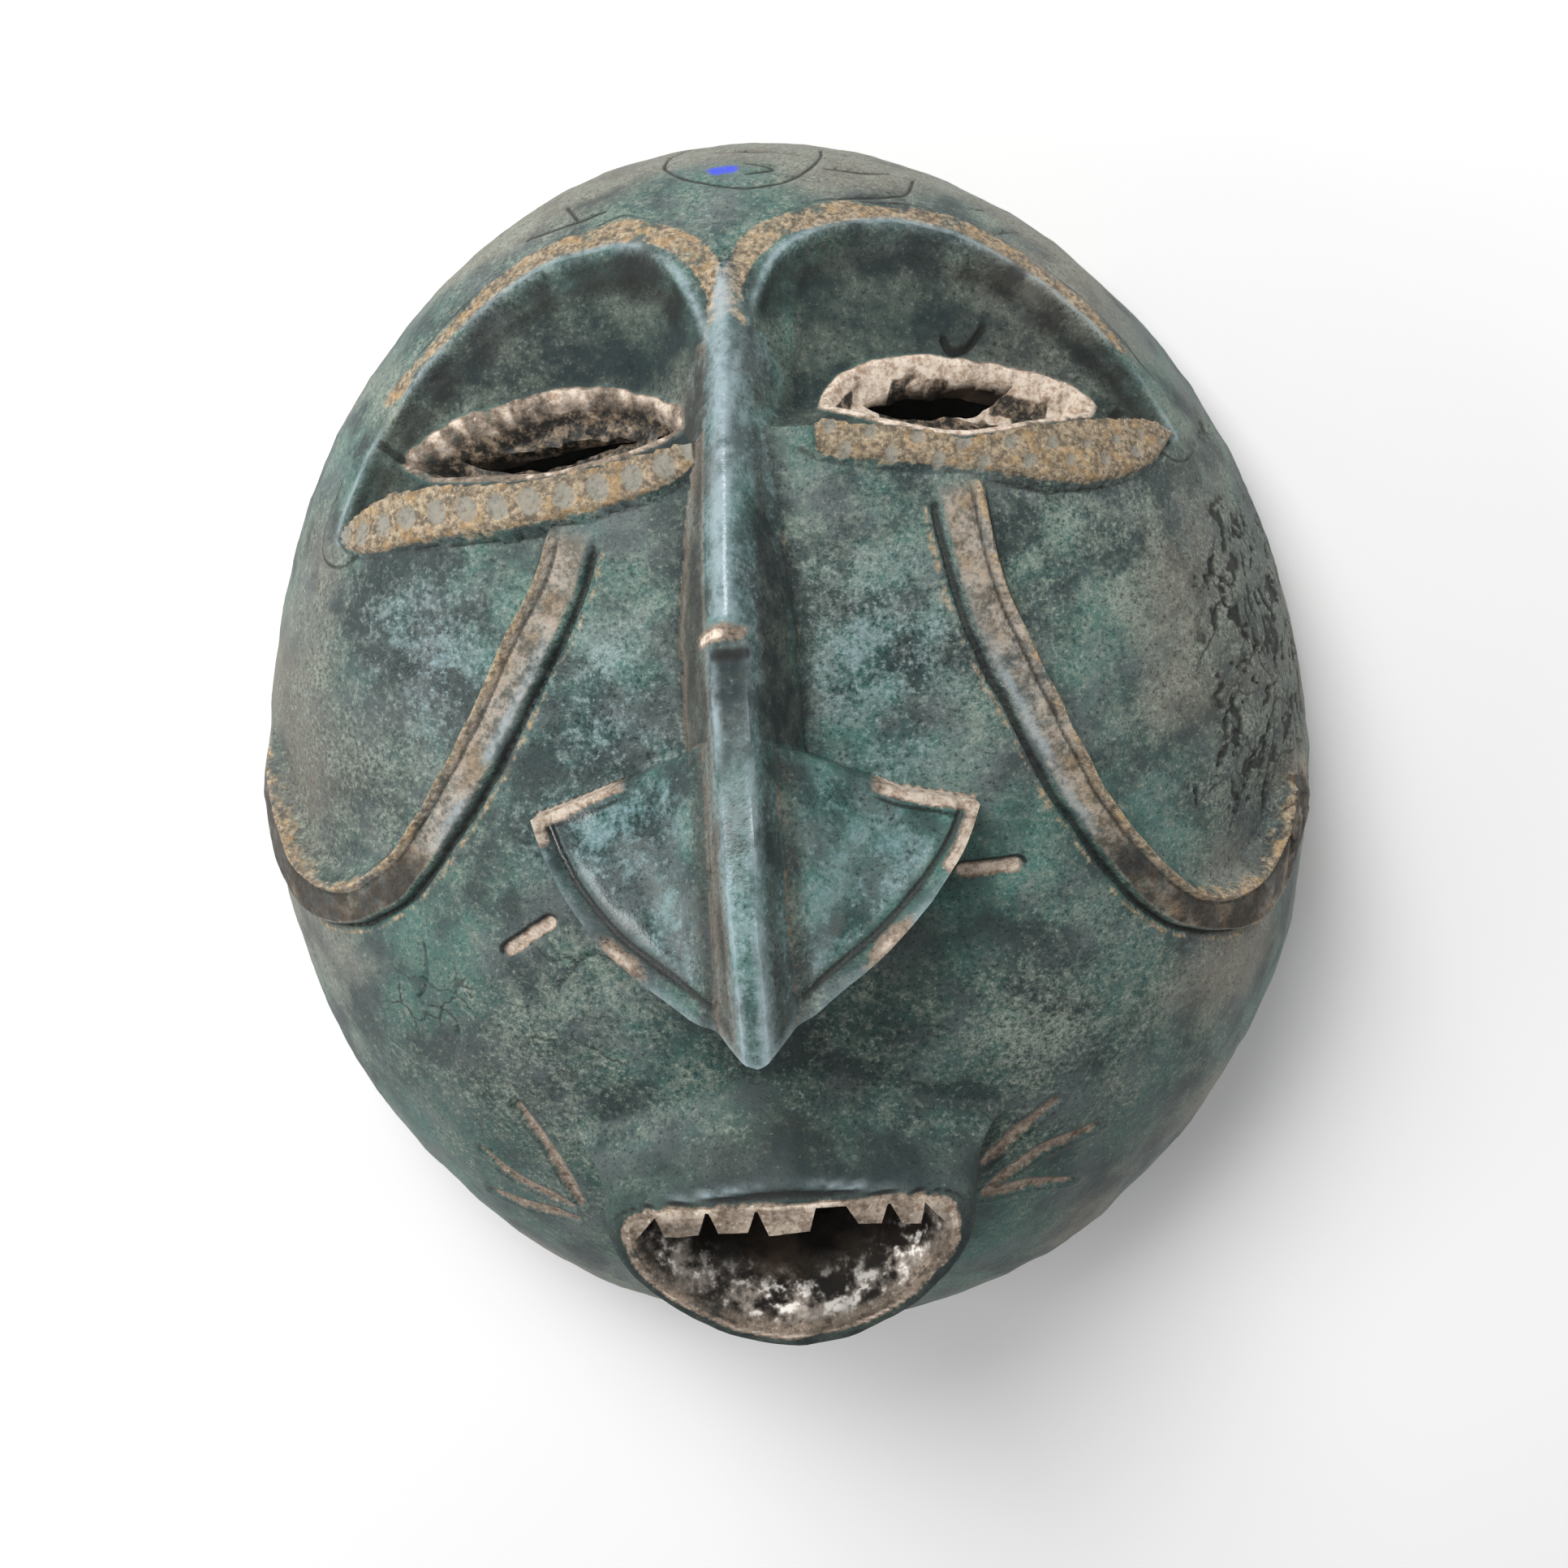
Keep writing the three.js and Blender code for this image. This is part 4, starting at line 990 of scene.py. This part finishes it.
def painted(mesh):
    """The finishes on a mesh's own knots, and how far each knot lies under the face."""
    knots = np.empty(len(mesh.vertices) * 3)
    mesh.vertices.foreach_get("co", knots)
    knots = knots.reshape(-1, 3) * MM_IN_METRE
    far = np.linalg.norm(knots, axis=1)
    lean = np.arccos(np.clip(knots[:, 2] / far, -1, 1))
    turn = np.arctan2(knots[:, 1], knots[:, 0])
    p, q = TAPE * lean * np.cos(turn), TAPE * lean * np.sin(turn)
    height, paint = carved(p, q)
    under = dome(np.minimum(lean, math.pi / 2), turn) + height - far
    paint["inside"] = soft(under, INSIDE_FROM, INSIDE_RUN)
    in_mouth = half_moon(p, q, *RIM_EDGE) < 1
    paint["throat"] = in_mouth * paint["inside"] * fade(under, THROAT_FROM, THROAT_RUN)
    return knots, paint


# Where a finish ends, the net stays fine; it is thinned elsewhere.
_, paint = painted(mesh)
ends = np.empty(len(mesh.edges) * 2, int)
mesh.edges.foreach_get("vertices", ends)
first, second = ends.reshape(-1, 2).T
busy = np.zeros(len(mesh.vertices))
for name in ("ochre", "bare", "band", "dark", "deep", "worn", "punch", "blue"):
    change = np.abs(paint[name][first] - paint[name][second])
    np.maximum.at(busy, first, change)
    np.maximum.at(busy, second, change)
busy = (busy > FINE_AT_CHANGE) & (paint["inside"] < 0.5)
plain = mask.vertex_groups.new(name="plain")
plain.add(np.flatnonzero(~busy).tolist(), 1, "REPLACE")
plain.add(np.flatnonzero(busy).tolist(), 0.1, "REPLACE")
thin = mask.modifiers.new("thin", "DECIMATE")
thin.vertex_group = plain.name
thin.vertex_group_factor = 1
thin.ratio = min(MOST_TRIANGLES / len(mesh.loop_triangles), 1)
thin.use_collapse_triangulate = True
mesh = settle(mask)

knots, paint = painted(mesh)
for name, amount in paint.items():
    mesh.attributes.new(name, "FLOAT", "POINT").data.foreach_set("value", amount)
mesh.vertices.foreach_set("co", ((knots + (0, TO_BOX_MIDDLE, 0)) / MM_IN_METRE).ravel())
mesh.shade_smooth()
mesh.set_sharp_from_angle(angle=math.radians(SHARP_FROM))
mesh.update()


# The finish of the wood: dark green and grey-brown stain under years of dust and smoke, ochre
# in the bands, light wood where the surface was cut or rubbed away, gloss where hands rub it.
# Painted shade darkens the sockets, grooves and creases and the places under the nose, and
# painted highlights lie on the rubbed places, edges and crests.
class Wire:
    """A socket of the finish; sums on it add Math nodes."""
    tree = None

    def __init__(self, socket):
        self.socket = socket

    @classmethod
    def node(cls, kind, settings, values, out=0):
        """Adds a node, with its settings first and then its sockets' values or wires."""
        made_node = cls.tree.nodes.new("ShaderNode" + kind)
        for name, value in settings.items():
            setattr(made_node, name, value)
        for name, value in values.items():
            if isinstance(value, Wire):
                cls.tree.links.new(value.socket, made_node.inputs[name])
            else:
                made_node.inputs[name].default_value = value
        return Wire(made_node.outputs[out])

    def maths(self, operation, a, b):
        return Wire.node("Math", {"operation": operation}, {0: a, 1: b})

    def __add__(self, other):
        return self.maths("ADD", self, other)

    def __sub__(self, other):
        return self.maths("SUBTRACT", self, other)

    def __rsub__(self, other):
        return self.maths("SUBTRACT", other, self)

    def __mul__(self, other):
        return self.maths("MULTIPLY", self, other)

    __radd__ = __add__
    __rmul__ = __mul__

    def step(self, low, high):
        """From 0 at low to 1 at high, smoothly."""
        ends = {"Value": self, "From Min": low, "From Max": high}
        return Wire.node("MapRange", {"interpolation_type": "SMOOTHSTEP"}, ends)


def linear(colour):
    """A colour as a paint chart names it, 0 to 255, for the renderer's linear scale."""
    if isinstance(colour, Wire):
        return colour
    return tuple((part / 255) ** 2.2 for part in colour) + (1,)


def blend(under, over, amount):
    """One colour laid over another."""
    values = {0: amount, 6: linear(under), 7: linear(over)}
    return Wire.node("Mix", {"data_type": "RGBA"}, values, out=2)


finish = bpy.data.materials.new("patinated_wood_finish")
finish.use_nodes = True
finish.node_tree.nodes.clear()
Wire.tree = finish.node_tree
spots = Wire.node("TexCoord", {}, {}, out="Object")
spots = Wire.node("VectorMath", {"operation": "SCALE"}, {0: spots, "Scale": MM_IN_METRE})


def clouds(size, detail=3, rough=0.6):
    values = {"Vector": spots, "Scale": 1 / size, "Detail": detail, "Roughness": rough}
    return Wire.node("TexNoise", {}, values)


def laid(name):
    return Wire.node("Attribute", {"attribute_name": name}, {}, out="Fac")


wide = clouds(42, 2)
patchy = clouds(11, 3)
speckle = clouds(2.6, 3, 0.7)
fleck = clouds(1.15, 2, 0.7)
pore = clouds(0.55, 2)
dust, deep, inside, shine = laid("dust"), laid("deep"), laid("inside"), laid("shine")
green = blend((47, 61, 60), (70, 112, 103), (patchy * 0.6 + wide * 0.5).step(0.44, 0.72))
green = blend(green, (102, 110, 110), clouds(19, 4).step(0.44, 0.68) * 0.6)
green = blend(green, (126, 116, 104), (laid("brown") * 0.9 + patchy - 0.5).step(0.3, 0.95) * 0.85)
# Darker where deep is laid: partly stain, and painted shade in the sockets and on the nose's sides and foot.
green = blend(green, blend((34, 44, 45), (80, 84, 77), patchy.step(0.35, 0.7)), deep * 0.85)
# Smoke stain, and painted shade under the nose.
smoke = laid("smoke") * (patchy * 0.7 + speckle * 0.4).step(0.3, 0.72)
green = blend(green, (28, 33, 31), smoke * 0.75)
dusty = (speckle * 0.7 + fleck * 0.3 + patchy * 0.45 + dust * 0.28).step(0.8, 1.1) * (1 - deep * 0.7)
colour = blend(green, (124, 132, 122), dusty * 0.6)
flecks = (fleck * 0.8 + pore * 0.5 + patchy * 0.35 + dust * 0.2).step(0.96, 1.2) * (1 - deep * 0.5)
# In the glossy places the pale flecks turn bluish white: painted highlight specks.
colour = blend(colour, blend((156, 164, 152), (176, 196, 204), shine), flecks * 0.5)
colour = blend(colour, (26, 34, 33), (1 - (fleck * 0.5 + pore * 0.5).step(0.36, 0.47)) * 0.7)
# Painted highlight patches in the glossy places.
painted_highlight_patches = shine * (patchy * 0.5 + speckle * 0.3 + fleck * 0.3).step(0.5, 0.7)
colour = blend(colour, (122, 146, 152), painted_highlight_patches * 0.7)

band = laid("band")
streaks = clouds(5)
band_colour = blend((92, 84, 72), (180, 170, 158), (streaks * 0.7 + fleck * 0.6).step(0.5, 0.85))
band_colour = blend(band_colour, (146, 118, 84), (patchy * 0.7 + fleck * 0.5).step(0.56, 0.8) * 0.6)
colour = blend(colour, band_colour, band * (speckle * 0.5 + patchy * 0.7).step(0.38, 0.62) * 0.92)
ochre = laid("ochre")
ochre_colour = blend((96, 84, 70), (174, 156, 130), (fleck * 0.7 + speckle * 0.5).step(0.46, 0.78))
ochre_colour = blend(ochre_colour, (206, 190, 164), (pore * 0.7 + fleck * 0.6).step(0.74, 0.92) * 0.7)
ochre_colour = blend(ochre_colour, (180, 142, 90), clouds(4, 2).step(0.5, 0.66) * 0.4)
ochre_on = (ochre + (speckle - 0.5) * 1.3 + (patchy - 0.5) * 0.9).step(0.35, 0.8)
colour = blend(colour, ochre_colour, ochre_on * 0.92)
punched = laid("punch").step(0.2, 0.8) * (fleck + 0.2).step(0.3, 0.8)
colour = blend(colour, (134, 134, 126), punched * 0.8)
# The worn finish is pale blue-grey: painted highlights along edges, crests, beads and the upper lip, with
# some real wear.
worn = laid("worn")
colour = blend(colour, (150, 166, 172), worn * (speckle * 0.6 + patchy * 0.5).step(0.3, 0.62) * 0.8)

bare = laid("bare")
mottle = fleck * 0.6 + speckle * 0.6
light_wood = blend((160, 136, 116), (220, 206, 190), mottle.step(0.42, 0.72))
smoked_wood = blend((82, 70, 60), (142, 128, 114), mottle.step(0.4, 0.72))
bare_colour = blend(smoked_wood, light_wood, bare.step(0.6, 0.95))
bare_colour = blend(bare_colour, (232, 226, 216), (pore * 0.5 + fleck * 0.7).step(0.7, 0.86) * 0.7)
bare_on = (bare + (speckle - 0.5) * 0.5).step(0.2, 0.55)
colour = blend(colour, bare_colour, bare_on)

rough_on = laid("rough")
bowl_colour = blend((24, 20, 16), (142, 124, 104), (speckle * 0.8 + fleck * 0.35).step(0.5, 0.78))
bowl_colour = blend(bowl_colour, (206, 196, 182), (pore * 0.5 + speckle * 0.6).step(0.68, 0.8) * 0.7)
colour = blend(colour, bowl_colour, rough_on * (1 - bare.step(0.5, 0.9) * 0.85) * 0.95)

# The inside is dark wood made near black, which also stands in for the shade in the mouth and the eye slits.
soot = (clouds(9, 4) + speckle * 0.3).step(0.45, 0.85)
inside_colour = blend((20, 17, 14), (56, 46, 37), soot)
inside_colour = blend(inside_colour, (100, 88, 74), flecks * 0.2)
colour = blend(colour, inside_colour, inside)
# The lumps in the mouth: light wood with white bits, their brightest spots painted highlights.
throat = laid("throat")
lighter = (clouds(6) * 0.8 + speckle * 0.4).step(0.5, 0.72)
white_bits_and_highlights = (clouds(3, 2) * 0.7 + speckle * 0.5).step(0.63, 0.74)
throat_colour = blend((26, 22, 19), (164, 154, 144), lighter)
throat_colour = blend(throat_colour, (240, 236, 228), white_bits_and_highlights * 0.85)
colour = blend(colour, throat_colour, throat)
pale = laid("pale") * (speckle * 0.5 + fleck * 0.5).step(0.35, 0.5)
colour = blend(colour, (236, 230, 220), pale * 0.9)

cracked = laid("cracked")
bend = Wire.node("TexNoise", {}, {"Vector": spots, "Scale": 0.22}, out="Color")
bend = Wire.node("VectorMath", {"operation": "SCALE"}, {0: bend, "Scale": 5})
bent = Wire.node("VectorMath", {"operation": "ADD"}, {0: spots, 1: bend})


def crazing(size, width):
    """Cracks between scales of this size, in millimetres."""
    values = {"Vector": bent, "Scale": 1 / size}
    return 1 - Wire.node("TexVoronoi", {"feature": "DISTANCE_TO_EDGE"}, values).step(0, width)


crack = crazing(13, 0.05) * (cracked + patchy * 0.6).step(0.55, 0.95)
crack_small = crazing(4.5, 0.1) * (cracked + patchy * 0.5).step(0.8, 1.2)
# The dark finish: grime in scratches, cracks and pits, and painted shade in grooves, creases, chips, sockets
# and under steps.
dark = laid("dark")
painted_shade_and_grime_mask = (dark + (speckle - 0.5) * 0.4).step(0.25, 0.8)
colour = blend(colour, (24, 24, 22), painted_shade_and_grime_mask * (1 - bare_on * 0.5) * 0.85)
colour = blend(colour, (22, 26, 25), (crack * 0.8 + crack_small * 0.5).step(0, 1))
colour = blend(colour, (52, 74, 214), laid("blue") * 0.9)

roughness = 0.55 + deep * 0.25 + dusty * 0.15 + ochre_on * 0.15 + bare_on * 0.25 + inside * 0.2 - shine * 0.22
roughness = roughness - worn * 0.12 + (fleck - 0.5) * 0.25
bumps = patchy * 0.4 + (speckle * 0.35 + fleck * 0.25 + pore * 0.12 + flecks * 0.12) * (1 - shine * 0.6)
bumps = bumps - crack * 0.6 - crack_small * 0.35
normal = Wire.node("Bump", {}, {"Height": bumps, "Strength": 0.55, "Distance": 0.001})
skin = Wire.node("BsdfPrincipled", {}, {
    "Base Color": colour, "Roughness": roughness.step(0, 1), "Normal": normal,
    "Specular IOR Level": 0.42})
output = Wire.tree.nodes.new("ShaderNodeOutputMaterial")
Wire.tree.links.new(skin.socket, output.inputs["Surface"])
mesh.materials.clear()
mesh.materials.append(finish)
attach(mask, "root")
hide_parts("carved_mask")


# A plain pale studio floor.
floor_mesh = bpy.data.meshes.new("studio_floor")
FLOOR_HALF = 3
corners = [(x * FLOOR_HALF, y * FLOOR_HALF, 0) for x, y in ((-1, -1), (1, -1), (1, 1), (-1, 1))]
floor_mesh.from_pydata(corners, [], [(0, 1, 2, 3)])
floor = bpy.data.objects.new("studio_floor", floor_mesh)
bpy.context.collection.objects.link(floor)
floor_paint = bpy.data.materials.new("studio_floor_paint")
floor_paint.use_nodes = True
floor_surface = floor_paint.node_tree.nodes["Principled BSDF"]
floor_surface.inputs["Base Color"].default_value = (0.86, 0.86, 0.86, 1)
floor_surface.inputs["Roughness"].default_value = 0.9
floor_surface.inputs["Specular IOR Level"].default_value = 0.1
floor_mesh.materials.append(floor_paint)


# Soft studio light: a pale room, one strong panel over the crown and a weak one on each side.
# A panel's place and size are in metres, and its power is in watts.
PANELS = [
    ("over_crown", (-0.3, 0.8, 1.05), 0.7, 17.5),
    ("left", (-0.95, -0.2, 0.5), 0.7, 5),
    ("right", (1.0, -0.1, 0.5), 0.6, 2.2),
]
room = bpy.data.worlds.new("studio")
room.use_nodes = True
room.node_tree.nodes["Background"].inputs["Color"].default_value = (1, 1, 1, 1)
room.node_tree.nodes["Background"].inputs["Strength"].default_value = 0.32
bpy.context.scene.world = room
for name, at, size, watts in PANELS:
    lamp = bpy.data.lights.new(name, "AREA")
    lamp.size = size
    lamp.energy = watts
    lamp_stand = bpy.data.objects.new(name, lamp)
    lamp_stand.location = at
    lamp_stand.rotation_euler = (-Vector(at)).to_track_quat("-Z", "Y").to_euler()
    bpy.context.collection.objects.link(lamp_stand)


# The camera looks down on the mask where it lies, a little from its crown and right side.
LOOK_AT = Vector((0.0041, -0.00125, 0.054))
CAMERA_AWAY = 0.470
YAW, TILT, ROLL = math.radians(6.6), math.radians(10), math.radians(5.5)
FOCAL_PIXELS, PICTURE_PIXELS = 2600, 1932
SENSOR = 36
back = Vector((math.sin(YAW) * math.cos(TILT), math.sin(TILT), math.cos(YAW) * math.cos(TILT)))
level = (-back).cross(Vector((0, 1, 0))).normalized()
upright = level.cross(-back)
right = math.cos(ROLL) * level - math.sin(ROLL) * upright
up = math.cos(ROLL) * upright + math.sin(ROLL) * level
lens = bpy.data.cameras.new("camera")
lens.sensor_width = SENSOR
lens.lens = SENSOR * FOCAL_PIXELS / PICTURE_PIXELS
lens.clip_start = 0.01
camera = bpy.data.objects.new("camera", lens)
camera.matrix_world = Matrix.Translation(LOOK_AT + CAMERA_AWAY * back) @ Matrix(
    (right, up, back)).transposed().to_4x4()
bpy.context.collection.objects.link(camera)
bpy.context.scene.camera = camera
bpy.context.scene.view_settings.view_transform = "Standard"
